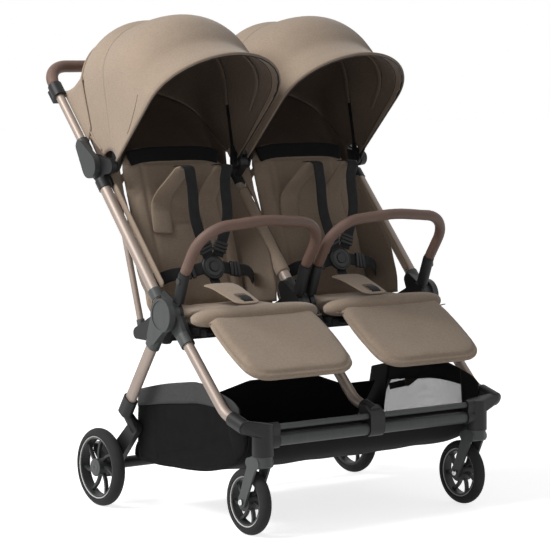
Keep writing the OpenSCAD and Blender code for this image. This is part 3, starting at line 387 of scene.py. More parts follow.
def puff(obj, cap, voxel=0.005, pressure=4.0):
    """Swells a pad with a short cloth simulation. No point moves more than cap millimetres."""
    remesh = obj.modifiers.new("remesh", "REMESH")
    remesh.mode = "VOXEL"
    remesh.voxel_size = voxel
    depsgraph = bpy.context.evaluated_depsgraph_get()
    mesh = bpy.data.meshes.new_from_object(obj.evaluated_get(depsgraph))
    obj.modifiers.clear()
    obj.data = mesh
    rest = np.zeros(len(mesh.vertices) * 3)
    mesh.vertices.foreach_get("co", rest)
    cloth = obj.modifiers.new("cloth", "CLOTH")
    cloth.settings.quality = 5
    cloth.settings.mass = 0.3
    cloth.settings.use_pressure = True
    cloth.settings.uniform_pressure_force = pressure
    cloth.settings.effector_weights.gravity = 0
    cloth.point_cache.frame_start, cloth.point_cache.frame_end = 1, 20
    for f in range(1, 21):
        scene.frame_set(f)
    depsgraph = bpy.context.evaluated_depsgraph_get()
    done = np.zeros(len(rest))
    obj.evaluated_get(depsgraph).data.vertices.foreach_get("co", done)
    obj.modifiers.clear()
    scene.frame_set(1)
    move = (done - rest).reshape(-1, 3)
    size = np.linalg.norm(move, axis=1, keepdims=True)
    move *= np.minimum(1, cap / 1000 / np.maximum(size, 1e-9))
    mesh.vertices.foreach_set("co", (rest.reshape(-1, 3) + move).ravel())
    mesh.polygons.foreach_set("use_smooth", [True] * len(mesh.polygons))
    mesh.update()
    return obj


def subdivide(obj, levels=1):
    m = obj.modifiers.new("subdivision", "SUBSURF")
    m.levels = m.render_levels = levels
    return obj


def points_of(obj):
    co = np.zeros(len(obj.data.vertices) * 3)
    obj.data.vertices.foreach_get("co", co)
    return co.reshape(-1, 3) * 1000 - [0, Y_AXLE, 0]


def move_points(obj, points):
    obj.data.vertices.foreach_set("co", metres(points).ravel())
    obj.data.update()
    return obj


def press(obj, axes, lines, depth, width):
    """Sews channels into the outer face of a pad along flat lines of (u, v)."""
    p = points_of(obj)
    u, v, n = axes.read(p)
    mid = (n.min() + n.max()) / 2
    near = np.full(len(p), 1e9)
    for line in lines:
        q = np.asarray(line, float)
        for a, b in zip(q[:-1], q[1:]):
            d = b - a
            t = np.clip(((u - a[0]) * d[0] + (v - a[1]) * d[1]) / (d @ d), 0, 1)
            near = np.minimum(near, np.hypot(u - a[0] - t * d[0], v - a[1] - t * d[1]))
    dip = depth * np.exp(-((near / width) ** 2)) * (n > mid)
    return move_points(obj, p - dip[:, None] * axes.n)


def mirror_copy(obj, name):
    """The same piece on the other side of the stroller."""
    other = obj.copy()
    other.data = obj.data.copy()
    other.name = name
    other.data.transform(Matrix.Scale(-1, 4, (1, 0, 0)))
    other.data.flip_normals()
    scene.collection.objects.link(other)
    return other


def finish_piece(obj, body=None, replaces=()):
    if body:
        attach(obj, body)
    for node in replaces:
        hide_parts(node)
    return obj


def stretch_piece(obj, slot, start_body, end_body, start, end):
    """A piece between two bodies: it is baked into the imported frame where it was made, and follows neither body."""
    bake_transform(obj)
    return obj


# Materials: procedural, on object coordinates in metres unless they follow a strap's own length


class Look:
    def __init__(self, name, roughness, metallic=0.0, specular=0.5, **sockets):
        self.material = bpy.data.materials.new(name)
        self.material.use_nodes = True
        self.tree = self.material.node_tree
        self.shader = self.tree.nodes["Principled BSDF"]
        self.shader.inputs["Roughness"].default_value = roughness
        self.shader.inputs["Metallic"].default_value = metallic
        self.shader.inputs["Specular IOR Level"].default_value = specular
        for socket, value in sockets.items():
            self.shader.inputs[socket.replace("_", " ").title()].default_value = value

    def node(self, kind, **settings):
        n = self.tree.nodes.new("ShaderNode" + kind)
        for key, value in settings.items():
            if hasattr(n, key):
                setattr(n, key, value)
            else:
                n.inputs[key.replace("_", " ").title()].default_value = value
        return n

    def link(self, a, b):
        self.tree.links.new(a, b)

    def coords(self, scale=(1, 1, 1), uv=False):
        source = self.node("TexCoord").outputs["UV" if uv else "Object"]
        if tuple(scale) == (1, 1, 1):
            return source
        mapping = self.node("Mapping", scale=scale)
        self.link(source, mapping.inputs["Vector"])
        return mapping.outputs["Vector"]

    def noise(self, vector, scale, detail=2.0, roughness=0.5):
        n = self.node("TexNoise", scale=scale, detail=detail, roughness=roughness)
        self.link(vector, n.inputs["Vector"])
        return n.outputs["Fac"]

    def wave(self, vector, period, direction="X", profile="SIN"):
        n = self.node("TexWave", wave_type="BANDS", bands_direction=direction, wave_profile=profile)
        n.inputs["Scale"].default_value = 2 * math.pi / 20 / period
        self.link(vector, n.inputs["Vector"])
        return n.outputs["Fac"]

    def math(self, operation, a, b):
        n = self.node("Math", operation=operation)
        for socket, value in zip(n.inputs, (a, b)):
            if isinstance(value, (int, float)):
                socket.default_value = value
            else:
                self.link(value, socket)
        return n.outputs[0]

    def ramp(self, fac, stops):
        n = self.node("ValToRGB")
        while len(n.color_ramp.elements) < len(stops):
            n.color_ramp.elements.new(0.5)
        for element, (place, colour) in zip(n.color_ramp.elements, stops):
            element.position = place
            element.color = (*colour, 1)
        self.link(fac, n.inputs["Fac"])
        return n.outputs["Color"]

    def colour(self, socket):
        self.link(socket, self.shader.inputs["Base Color"])

    def rough(self, fac, low, high):
        n = self.node("MapRange")
        n.inputs["To Min"].default_value, n.inputs["To Max"].default_value = low, high
        self.link(fac, n.inputs["Value"])
        self.link(n.outputs["Result"], self.shader.inputs["Roughness"])

    def bump(self, height, depth):
        """Bump from a height of 0 to 1 over a depth in metres."""
        n = self.node("Bump")
        n.inputs["Strength"].default_value = 1.0
        n.inputs["Distance"].default_value = depth
        self.link(height, n.inputs["Height"])
        self.link(n.outputs["Normal"], self.shader.inputs["Normal"])


def shade(colour, k):
    return tuple(min(1.0, c * k) for c in colour)


def woven(name, colour, spread=0.16, depth=0.00018, roughness=0.9, sheen=0.25, grain=900.0):
    """Woven cloth: mixed threads, fine weave, slow unevenness."""
    look = Look(name, roughness, specular=0.15, sheen_weight=sheen, sheen_roughness=0.5)
    p = look.coords()
    threads = look.noise(look.coords((150, grain, grain)), 1.0, 1.0)
    cross = look.noise(look.coords((grain, 130, grain)), 1.0, 1.0)
    slow = look.noise(p, 9.0, 3.0)
    mixed = look.math("ADD", look.math("MULTIPLY", threads, 0.42), look.math("MULTIPLY", cross, 0.38))
    mixed = look.math("ADD", mixed, look.math("MULTIPLY", slow, 0.2))
    stops = [(0.36, shade(colour, 1 - spread)), (0.5, colour), (0.64, shade(colour, 1 + spread))]
    look.colour(look.ramp(mixed, stops))
    weave = look.math("MULTIPLY", look.wave(p, 0.0014, "DIAGONAL"), look.wave(p, 0.0013, "Z"))
    look.bump(look.math("ADD", look.math("MULTIPLY", weave, 0.5), look.math("MULTIPLY", mixed, 0.9)), depth)
    look.rough(mixed, roughness - 0.1, roughness + 0.08)
    return look.material


def leather(name, colour):
    look = Look(name, 0.5, specular=0.35)
    p = look.coords()
    cells = look.node("TexVoronoi", feature="DISTANCE_TO_EDGE", scale=520.0)
    look.link(p, cells.inputs["Vector"])
    grain = look.ramp(cells.outputs["Distance"], [(0.0, (0, 0, 0)), (0.16, (1, 1, 1))])
    slow = look.noise(p, 14.0, 4.0)
    fine = look.noise(p, 700.0, 2.0)
    look.colour(look.ramp(slow, [(0.3, shade(colour, 0.86)), (0.55, colour), (0.75, shade(colour, 1.16))]))
    look.bump(look.math("ADD", grain, look.math("MULTIPLY", fine, 0.4)), 0.00016)
    look.rough(slow, 0.42, 0.56)
    return look.material


def plastic(name, colour, roughness=0.5, specular=0.3, inner=None, split=0.0):
    """Moulded plastic with a fine eroded texture and faint scuffs. Inner is a second colour within split of x = 0."""
    look = Look(name, roughness, specular=specular)
    p = look.coords()
    fine = look.noise(p, 1500.0, 2.0)
    scuff = look.noise(look.coords((60, 60, 14)), 1.0, 5.0, 0.7)
    tone = look.ramp(scuff, [(0.3, shade(colour, 0.88)), (0.56, colour), (0.78, shade(colour, 1.22))])
    if inner:
        axes = look.node("SeparateXYZ")
        look.link(p, axes.inputs[0])
        outer = look.math("GREATER_THAN", look.math("ABSOLUTE", axes.outputs["X"], 0.0), split)
        mix = look.node("Mix", data_type="RGBA")
        look.link(outer, mix.inputs["Factor"])
        look.link(look.ramp(scuff, [(0.3, shade(inner, 0.88)), (0.78, shade(inner, 1.22))]), mix.inputs["A"])
        look.link(tone, mix.inputs["B"])
        tone = mix.outputs["Result"]
    look.colour(tone)
    look.rough(scuff, roughness - 0.07, roughness + 0.1)
    look.bump(fine, 0.00005)
    return look.material


def satin_metal(name, colour, roughness=0.36, metallic=0.55):
    """Anodised tube: satin with a fine drawn texture."""
    look = Look(name, roughness, metallic)
    p = look.coords()
    drawn = look.noise(look.coords((1800, 300, 300)), 1.0, 2.0)
    slow = look.noise(p, 11.0, 3.0)
    look.colour(look.ramp(slow, [(0.3, shade(colour, 0.95)), (0.7, shade(colour, 1.05))]))
    look.rough(slow, roughness - 0.05, roughness + 0.07)
    look.bump(drawn, 0.000018)
    return look.material


def rubber(name, colour):
    look = Look(name, 0.8, specular=0.2)
    p = look.coords()
    fine, slow = look.noise(p, 900.0, 3.0), look.noise(p, 25.0, 4.0)
    look.colour(look.ramp(slow, [(0.3, shade(colour, 0.8)), (0.6, colour), (0.8, shade(colour, 1.35))]))
    look.rough(slow, 0.7, 0.92)
    look.bump(fine, 0.00012)
    return look.material


def ribbed(name, colour, roughness=0.75):
    """Webbing: ribs along the strap and a fine cross weave, by its own length and width."""
    look = Look(name, roughness, specular=0.15, sheen_weight=0.1)
    uv = look.coords(uv=True)
    ribs, cross = look.wave(uv, 0.0031, "X"), look.wave(uv, 0.0012, "Y")
    slow = look.noise(look.coords(), 60.0, 3.0)
    look.colour(look.ramp(slow, [(0.3, shade(colour, 0.8)), (0.7, shade(colour, 1.25))]))
    look.bump(look.math("ADD", ribs, look.math("MULTIPLY", cross, 0.5)), 0.00025)
    return look.material


def open_mesh(name, colour, hole=0.0026, cover=0.22):
    """Net cloth: threads with see-through holes, by the sheet's own length and width."""
    look = Look(name, 0.85, specular=0.15)
    uv = look.coords(uv=True)
    slow = look.noise(look.coords(), 40.0, 3.0)
    look.colour(look.ramp(slow, [(0.3, shade(colour, 0.8)), (0.7, shade(colour, 1.2))]))
    threads = look.math("MAXIMUM", look.wave(uv, hole, "X"), look.wave(uv, hole, "Y"))
    look.link(look.math("GREATER_THAN", threads, 1 - cover), look.shader.inputs["Alpha"])
    look.bump(threads, 0.0002)
    return look.material


TAUPE = (0.376, 0.29, 0.219)
BLACK = (0.0105, 0.0105, 0.0112)
fabric = woven("taupe_cloth", TAUPE)
# The same taupe cloth darkened to 0.62: painted shade, a shaded copy for faces that fall in shade
taupe_painted_shade = woven("taupe_cloth_painted_shade", shade(TAUPE, 0.62))
binding = woven("taupe_binding", shade(TAUPE, 0.74), depth=0.00012)
lining = woven("brown_lining", (0.17, 0.128, 0.1), spread=0.25, sheen=0.05)
black_cloth = woven("black_cloth", BLACK, spread=0.3, sheen=0.05)
grey_cloth = woven("grey_hem", (0.06, 0.06, 0.06), spread=0.25, sheen=0.1)
net = open_mesh("black_net", (0.012, 0.012, 0.013))
webbing = ribbed("black_webbing", (0.017, 0.0175, 0.018))
thread = plastic("taupe_thread", shade(TAUPE, 1.2), 0.8, 0.1)
thread_dark = plastic("brown_thread", (0.1, 0.068, 0.053), 0.8, 0.1)
hide = leather("brown_leatherette", (0.165, 0.1, 0.077))
champagne = satin_metal("champagne_anodised", (0.345, 0.278, 0.238), 0.46, 0.35)
grey_plastic = plastic("grey_plastic", (0.072, 0.075, 0.075), 0.46)
hub_plastic = plastic("hub_plastic", (0.072, 0.075, 0.075), 0.46, inner=BLACK, split=0.347)
hinge_plastic = plastic("hinge_plastic", (0.048, 0.05, 0.05), 0.46)
black_plastic = plastic("black_plastic", BLACK, 0.46)
button_plastic = plastic("button_plastic", (0.034, 0.035, 0.037), 0.4)
rim_plastic = plastic("rim_plastic", (0.035, 0.036, 0.037), 0.48)
tyre_rubber = rubber("tyre_rubber", (0.03, 0.03, 0.03))
ring_white = plastic("ring_white", (0.7, 0.7, 0.68), 0.42)
bright_steel = satin_metal("bright_steel", (0.6, 0.6, 0.6), 0.3, 1.0)

FINISH = {
    "champagne_tube": champagne,
    "grey_plastic": grey_plastic,
    "black_plastic": black_plastic,
    "button": button_plastic,
    "rim": rim_plastic,
    "tyre": tyre_rubber,
    "taupe_fabric": fabric,
    "basket_cloth": black_cloth,
    "webbing": webbing,
    "leatherette": hide,
}
NODE_FINISH = {"side_hubs": hub_plastic, "hinge_bases": black_plastic, "handle_hinges": hinge_plastic}
for part in frame["record"]["subparts"]:
    mesh = nodes[part["node"]].data
    mesh.materials.clear()
    mesh.materials.append(NODE_FINISH.get(part["node"], FINISH[part["material_slot"]]))

# Camera, floor and light


def shown_rays(tree):
    """A socket that is 1 for camera, glossy and transmission rays."""
    path = tree.nodes.new("ShaderNodeLightPath")
    shown = path.outputs["Is Camera Ray"]
    for ray in ("Is Glossy Ray", "Is Transmission Ray"):
        most = tree.nodes.new("ShaderNodeMath")
        most.operation = "MAXIMUM"
        tree.links.new(shown, most.inputs[0])
        tree.links.new(path.outputs[ray], most.inputs[1])
        shown = most.outputs[0]
    return shown


def set_stage():
    camera = bpy.data.objects.new("camera", bpy.data.cameras.new("camera"))
    scene.collection.objects.link(camera)
    yaw, pitch, roll = 0.63826, -0.086397, -0.0047569
    forward = np.array([math.sin(yaw) * math.cos(pitch), math.cos(yaw) * math.cos(pitch), math.sin(pitch)])
    right = np.array([math.cos(yaw), -math.sin(yaw), 0])
    over = np.cross(right, forward)
    side = right * math.cos(roll) + over * math.sin(roll)
    top = over * math.cos(roll) - right * math.sin(roll)
    turn = Matrix(np.column_stack([side, top, -forward]).tolist()).to_4x4()
    camera.matrix_world = Matrix.Translation((-3.20214, -4.33294, 0.98675)) @ turn
    camera.data.sensor_width = 36
    camera.data.lens = 153.91
    camera.data.clip_end = 100
    scene.camera = camera

    floor_mesh = bpy.data.meshes.new("floor")
    floor_mesh.from_pydata([(-30, -30, 0), (30, -30, 0), (30, 30, 0), (-30, 30, 0)], [], [(0, 1, 2, 3)])
    floor = bpy.data.objects.new("floor", floor_mesh)
    floor.location.z = -0.0006
    scene.collection.objects.link(floor)
    look = Look("floor_white", 0.9)
    look.shader.inputs["Base Color"].default_value = (0.86, 0.86, 0.86, 1)
    look.shader.inputs["Emission Color"].default_value = (1, 1, 1, 1)
    glow = look.math("MULTIPLY", shown_rays(look.tree), 0.76)
    look.link(glow, look.shader.inputs["Emission Strength"])
    floor_mesh.materials.append(look.material)

    world = bpy.data.worlds.new("studio")
    scene.world = world
    world.use_nodes = True
    tree = world.node_tree
    fill = tree.nodes["Background"]
    fill.inputs["Color"].default_value = (1, 1, 1, 1)
    fill.inputs["Strength"].default_value = 0.22
    white = tree.nodes.new("ShaderNodeBackground")
    white.inputs["Strength"].default_value = 1.0
    white.inputs["Color"].default_value = (1, 1, 1, 1)
    mix = tree.nodes.new("ShaderNodeMixShader")
    tree.links.new(shown_rays(tree), mix.inputs["Fac"])
    tree.links.new(fill.outputs[0], mix.inputs[1])
    tree.links.new(white.outputs[0], mix.inputs[2])
    tree.links.new(mix.outputs[0], tree.nodes["World Output"].inputs["Surface"])

    for name, place, size, power in (
        ("key", (-3.0, 0.5, 3.3), 2.2, 146),
        ("front_fill", (-3.4, -4.0, 2.0), 2.6, 8),
    ):
        lamp = bpy.data.lights.new(name, "AREA")
        lamp.shape, lamp.size, lamp.energy = "DISK", size, power
        holder = bpy.data.objects.new(name, lamp)
        scene.collection.objects.link(holder)
        holder.location = place
        aim = np.array([0, 0, 0.55]) - place
        back = -aim / np.linalg.norm(aim)
        x = unit(np.cross([0, 0, 1.0], back))
        turn = Matrix(np.column_stack([x, np.cross(back, x), back]).tolist()).to_4x4()
        holder.matrix_world = Matrix.Translation(place) @ turn

    scene.view_settings.view_transform = "Standard"


set_stage()


# Canopies: one sheet from the rim to the middle bow and one from there to the rear flap


REACH_ANGLE = [45, 49, 53.5, 58, 62, 68, 75, 79, 83, 88, 94, 98, 101]
REACH = [352, 336, 322, 314.5, 313, 324, 337, 340.5, 340.5, 337.5, 333.5, 331.5, 330.5]
REAR_ANGLE = [101, 103, 105.5, 109, 113, 118, 123, 128, 134, 140, 146]
REAR_REACH = [330.5, 333.5, 339.5, 346, 349, 348, 343, 334.5, 319, 299, 280]
# The piped seam behind the middle bow: share of the arch's length and angle round the pivot
PIPED_SHARE = [0, 0.08, 0.1, 0.19, 0.234, 0.286, 0.346, 0.404, 0.5]
PIPED_ANGLE = [145, 143.5, 141.6, 130.5, 126, 123, 122, 123, 125]
CANOPY_ROOT = 44.0


def arch(reach, n, grow=0.0, root=CANOPY_ROOT):
    """The canopy's section: straight legs, then half an ellipse. Points are (across, reach)."""
    half, top = POD_HALF + grow, reach + grow
    a = np.linspace(0, math.pi, 41)
    over = np.column_stack([half * np.cos(a), top * 0.595 + top * 0.405 * np.sin(a)])
    return along(np.vstack([[half, root], over, [-half, root]]), n)


def canopy_line(sign, angle, points):
    """Places an arch's points at an angle round the canopy pivot."""
    c, s = math.cos(math.radians(angle)), math.sin(math.radians(angle))
    x = sign * (SEAT_X + points[:, 0])
    return np.column_stack([x, CANOPY_PIVOT[0] - points[:, 1] * c, CANOPY_PIVOT[1] + points[:, 1] * s])


def canopy_grid(sign, angles, reaches, columns, grow):
    roots = np.interp(angles, [45, 62, 101, 146], [15, 22, 34, 44])
    return np.array([canopy_line(sign, a, arch(r, columns, grow, k)) for a, r, k in zip(angles, reaches, roots)])


def pivot_ray(reach, angle):
    a = math.radians(angle)
    return CANOPY_PIVOT + reach * np.array([-math.cos(a), math.sin(a)])


def make_canopy(side, sign):
    front, mid = f"canopy_front_{side}", f"canopy_mid_{side}"
    angles = np.concatenate([np.linspace(45, 62, 16), np.linspace(63.2, 101, 28)])
    reaches = smooth(REACH_ANGLE, REACH, angles)
    outer = canopy_grid(sign, angles, reaches, 72, 1.0)
    inner = canopy_grid(sign, angles, reaches, 72, -3.6)
    # Inner rows within 48.6 degrees of the rim, the taupe facing band, take the darkened taupe copy: painted shade
    facing = np.where(angles[:-1] < 48.6, 3, 1)
    cover = shell(f"canopy_cover_{side}", outer, inner, [fabric, lining, binding, taupe_painted_shade], facing)
    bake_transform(cover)
    finish_piece(cover, replaces=[f"canopy_crown_{side}", f"canopy_visor_{side}"])

    angles = np.concatenate([np.linspace(101, 132, 22), np.linspace(133.2, 146, 11)])
    reaches = smooth(REAR_ANGLE, REAR_REACH, angles)
    outer = canopy_grid(sign, angles, reaches, 72, 1.0)
    inner = canopy_grid(sign, angles, reaches, 72, -1.0)
    rear = shell(f"canopy_rear_{side}", outer, inner, [fabric, lining, binding])
    rear_span = at(0, pivot_ray(340, 131)), at(0, pivot_ray(332, 102))
    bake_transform(rear)
    finish_piece(rear, replaces=["canopy_rear_panels"])

    rim = canopy_line(sign, 45, arch(352, 120, 0.2, 15))
    piece = tube(f"canopy_rim_binding_{side}", rim, 3.6, binding, 10)
    finish_piece(piece, front)
    seam = canopy_line(sign, 48.7, arch(smooth(REACH_ANGLE, REACH, [48.7])[0], 100, -4.2))
    piece = tube(f"canopy_facing_seam_{side}", seam, 0.9, thread_dark, 6)
    finish_piece(piece, front)
    for k, angle in enumerate((46.1, 47.4)):
        row = arch(smooth(REACH_ANGLE, REACH, [angle])[0], 140, 1.3)
        line = canopy_line(sign, angle, row)
        normal = line - np.array([sign * SEAT_X, *CANOPY_PIVOT])
        piece = stitches(f"canopy_rim_stitch_{k}_{side}", line, normal, thread)
        finish_piece(piece, front)

    # Casings that hold the bows inside the cover
    for name, angle, reach, body in (
        ("front", 62, 309.5, front),
        ("middle", 101, 328.0, mid),
    ):
        points = arch(reach, 90, -6.5, 135)
        taper = np.clip(points[:, 1] / 190, 0.3, 1)
        line = canopy_line(sign, angle, points)
        c, s = math.cos(math.radians(angle)), math.sin(math.radians(angle))
        inward = np.gradient(points, axis=0)
        inward = unit(np.column_stack([inward[:, 1], -inward[:, 0]]))
        up = np.column_stack([sign * inward[:, 0], -inward[:, 1] * c, inward[:, 1] * s])
        piece = sweep(f"canopy_casing_{name}_{side}", line, oblong(15, 6, 2.2, 16), lining, up, scale=taper)
        finish_piece(piece, body)
        piece = tube(f"canopy_casing_piping_{name}_{side}", line + up * 4.2, 1.6, binding, 8)
        finish_piece(piece, body)

    # A piped seam that drops from behind the middle bow to the hinge
    share = np.linspace(0.02, 0.98, 121)
    seam_angles = np.interp(0.5 - np.abs(share - 0.5), PIPED_SHARE, PIPED_ANGLE)
    spread = smooth(np.arange(13) * 10, seam_angles[::10], np.arange(121))
    for name, turn, grow, r, look in (
        ("piping", 0, 1.6, 2.6, fabric),
        ("seam_a", -0.7, 0.9, 0.55, thread_dark),
        ("seam_b", 0.7, 0.9, 0.55, thread_dark),
    ):
        line = []
        for angle, k in zip(spread + turn, share):
            section = arch(smooth(REAR_ANGLE, REAR_REACH, [angle])[0], 201, grow)
            line.append(canopy_line(sign, angle, section[[int(round(200 * k))]]))
        piece = tube(f"canopy_{name}_{side}", np.vstack(line), r, look, 10)
        stretch_piece(piece, "taupe_fabric", "chassis", mid, *rear_span)
    line = canopy_line(sign, 146, arch(280, 110, 0.0))
    finish_piece(tube(f"canopy_flap_binding_{side}", line, 3.0, binding, 10), "chassis")

    # A tuck sewn along the outer side of the visor
    a = np.linspace(0, 1, 40)
    angle = 51.5 + 6 * a
    reach = 96 + (smooth(REACH_ANGLE, REACH, angle) * 0.595 - 96) * a
    line = np.vstack([canopy_line(sign, t, np.array([[POD_HALF + 1.4, r]])) for t, r in zip(angle, reach)])
    piece = stitches(f"canopy_tuck_{side}", line, [sign, 0, 0], thread_dark, 3.6, 3.3, 0.55)
    finish_piece(piece, front)

    # Gusset from the rear flap to the handle tube
    rows = []
    k = np.linspace(0, 1, 12)[:, None]
    for t in np.linspace(0, 1, 16):
        back_edge = HINGE + HANDLE_DIR * (66 + 160 * t) + np.array([-3.0, 3.0])
        front_edge = CANOPY_PIVOT + np.array([90 + 38 * t, 84 + 115 * t])
        row = back_edge * (1 - k) + front_edge * k + np.sin(math.pi * k) * [0, -11 * t]
        rows.append(lift(sign * np.linspace(352.6, 352.0, 12), row))
    grid = np.array(rows)
    piece = cloth(f"canopy_gusset_{side}", grid, 1, [fabric, fabric, binding])
    finish_piece(piece, "chassis")

    # Dark curtain from the rear flap down to the top of the backrest
    start = canopy_line(sign, 143.5, arch(287, 40, -3.6, 46))
    reach = np.clip(start[:, 0] - sign * SEAT_X, -160, 160)
    low = 424 - 100 * np.clip((np.abs(reach) - 72) / 88, 0, 1) ** 2
    end = lift(sign * SEAT_X + reach, [RECLINE_AXIS + BACK_DIR * v + BACK_FRONT * 6 for v in low])
    foot = end[20, 1:]
    hang = 1 - (reach / 170) ** 2
    rows = []
    for t in np.linspace(0, 1, 22):
        row = start * (1 - t) + end * t
        row[:, 2] -= 16 * math.sin(math.pi * t) * hang
        row[:, 1] += (9 + 2 * np.sin(reach / 17)) * math.sin(math.pi * t) * hang
        rows.append(row)
    grid = np.array(rows)
    piece = cloth(f"canopy_curtain_{side}", grid, 0.5, [lining, lining, black_cloth])
    stretch_piece(piece, "basket_cloth", "chassis", f"backrest_{side}", at(0, grid[0, 20, 1:]), at(0, foot))


for side, sign in SIDES.items():
    make_canopy(side, sign)

# Seats


def make_pads():
    """Seat cushions, backrests and leg rests: swollen on the left and mirrored to the right."""
    x = -SEAT_X
    seat = Frame3([x, -247, 430.6], [1, 0, 0], [0, 1, 0], [0, 0, 1])
    outline = rounded([(-146, -100), (146, -100), (146, 97), (-146, 97)], [34, 34, 22, 22])
    pad = pillow("seat_pad_left", outline, 1.5, 31, seat, fabric, hard=(6, 18))
    puff(pad, 6)
    press(pad, seat, [[(-60, -78), (-60, 70)], [(60, -78), (60, 70)]], 4, 6)
    subdivide(pad)

    back = Frame3([x, *RECLINE_AXIS], [1, 0, 0], [0, *BACK_DIR], [0, *BACK_FRONT])
    outline = rounded([(-141, 30), (141, 30), (141, 430), (-141, 430)], [22, 22, 66, 66])
    rest = pillow("backrest_cover_left", outline, 8.5, 31, back, fabric, hard=(6, 18), around=140)
    puff(rest, 6)
    lines = [[(-136, 384), (136, 384)], [(-92, 70), (-92, 384)], [(92, 70), (92, 384)], [(-92, 236), (92, 236)]]
    press(rest, back, lines, 4.5, 5.5)
    subdivide(rest)

    for side, sign in SIDES.items():
        across = sign * SEAT_X + np.linspace(-122, 122, 30)
        path = back.out(across + SEAT_X, 403 - 10 * np.linspace(-1, 1, 30) ** 4, np.full(30, 33.0))
        band = sweep(f"backrest_band_{side}", path, oblong(34, 7, 2.6, 24), black_cloth, [0, *BACK_FRONT])
        finish_piece(band, f"backrest_{side}")

    # The leg rest's cover runs from the roll at the knee down to the far edge of its board
    leg = Frame3([x, -356.2, 440.2], [1, 0, 0], [0, *heading(214.4)], [0, *heading(124.4)])
    run = [-8, 6, 20, 40, 80, 120, 150, 168, 184, 196, 204, 207.5]
    half = [140, 144, 147.5, 150.5, 153, 152.5, 150.5, 147.5, 141, 129, 113, 93]
    right = curve(np.column_stack([half, run]), 40)
    outline = np.vstack([right, [[0, 208.5]], (right * [-1, 1])[::-1], [[0, -8]]])
    board = pillow("legrest_cover_left", outline, 4, 27, leg, fabric, hard=(12, 16), around=150, rings=18)
    puff(board, 2.5)
    edge = along(np.vstack([right, (right * [-1, 1])[::-1]]) * [1 - 11 / 153, 1] - [0, 11], 120)
    press(board, leg, [edge], 3.2, 3.6)
    subdivide(board)

    made = {
        "seat_pad": (pad, "chassis", ["seat_pads"]),
        "backrest_cover": (rest, "backrest_{}", ["backrest_pad_{}"]),
        "legrest_cover": (board, "legrest_{}", ["legrest_{}"]),
    }
    for name, (obj, body, replaced) in made.items():
        # The copy is made before either piece is attached, so that it stands for its own side's node alone
        pair = {"left": obj, "right": mirror_copy(obj, f"{name}_right")}
        for side, piece in pair.items():
            finish_piece(piece, body.format(side), [r.format(side) for r in replaced])


make_pads()


def make_seat_trim(side, sign):
    # Rolled front lip of the seat cover, over the knee hinge
    x = np.linspace(-166, 166, 70)
    drop = 5 * (np.abs(x) / 166) ** 4
    path = np.column_stack([sign * SEAT_X + x, -358 + 20 * (np.abs(x) / 166) ** 5, 456 - drop])
    ease = np.sqrt(np.clip(1 - (np.abs(x) / 168) ** 7, 0.01, 1))
    lip = sweep(f"seat_lip_{side}", path, oblong(56, 42, 2.3, 28), fabric, [0, 0, 1], scale=ease)
    subdivide(lip)
    seam = [(-160, -378, 446), (-120, -383.5, 443.5), (0, -385.5, 442.5), (120, -383.5, 443.5), (160, -378, 446)]
    seam = tube(f"seat_lip_seam_{side}", curve(seam, 60) + [sign * SEAT_X, 0, 0], 1.4, binding, 8)
    for piece in (lip, seam):
        knee = at(0, (-342, 447)), at(0, (-374, 445))
        stretch_piece(piece, "taupe_fabric", "chassis", f"legrest_{side}", *knee)

    # Padded strip beside the outer main tube, with piped edges
    strip = Frame3([sign * 343, *HUB], [0, -MAIN_DIR[1], MAIN_DIR[0]], [0, *MAIN_DIR], [sign, 0, 0])
    outline = rounded([(4, 70), (19, 70), (19, 356), (4, 356)], [7, 7, 7, 7])
    pad = pillow(f"side_strip_{side}", outline, 0.3, 8.0, strip, fabric, around=120, rings=10, hard=(4, 4))
    subdivide(pad)
    finish_piece(pad, "chassis", ["side_sleeves"])
    edge = along(outline, 120, closed=True)
    edge = strip.out(edge[:, 0], edge[:, 1], np.full(120, 4.0))
    finish_piece(tube(f"side_strip_piping_{side}", edge, 1.5, binding, 8, closed=True), "chassis")

    # Side wings between the main tubes and the backrest, one on each side of the seat
    over = np.array([-MAIN_DIR[1], MAIN_DIR[0]]) * 8
    for place, tube_x, bar_x in (("outer", 341.0, 316.0), ("inner", 17.0, 46.0)):
        rise = [HUB + MAIN_DIR * p + over for p in np.linspace(150, 396, 12)]
        front = curve([(-206, 462), (-203, 500), (-190, 540), *rise], 40)
        low = {
            "outer": [(-172, 456), (-140, 478), (-108, 505)],
            "inner": [(-138, 452), (-126, 478), (-102, 505)],
        }[place]
        back = curve([*low, (-64, 604), (-49, 650), (-34, 700), (-21, 742), (-8, 782)], 40)
        inward = -1 if place == "outer" else 1
        rows = []
        for t in np.linspace(0, 1, 16):
            p = front * (1 - t) + back * t
            x = tube_x * (1 - t) + bar_x * t
            sag = 4 * math.sin(math.pi * t) * np.sin(np.linspace(0.2, math.pi - 0.2, 40))
            sag = sag + 1.4 * np.sin(np.linspace(0, 7, 40) + 4 * t) * math.sin(math.pi * t)
            rows.append(np.column_stack([sign * (x + inward * sag), p]))
        grid = np.array(rows)
        # The wing's inner face takes the darkened taupe copy: painted shade on the same taupe cloth
        wing = cloth(f"seat_wing_{place}_{side}", grid, 1.2, [fabric, taupe_painted_shade, binding])
        hem = tube(f"seat_wing_hem_{place}_{side}", grid[-1], 1.9, binding, 8)
        for piece in (wing, hem):
            span = at(0, front[17] * 0.8 + back[17] * 0.2), at(0, back[17])
            stretch_piece(piece, "taupe_fabric", "chassis", f"backrest_{side}", *span)

    # Plastic sleeves on the lower ends of the backrest tubes
    path = [RECLINE_AXIS + BACK_DIR * s for s in np.linspace(-4, 30, 12)]
    for place, bar in (("outer", 148), ("inner", -148)):
        piece = tube(f"backrest_sleeve_{place}_{side}", lift(sign * (SEAT_X + bar), path), 9.4, grey_plastic, 20)
        finish_piece(piece, f"backrest_{side}")


for side, sign in SIDES.items():
    make_seat_trim(side, sign)

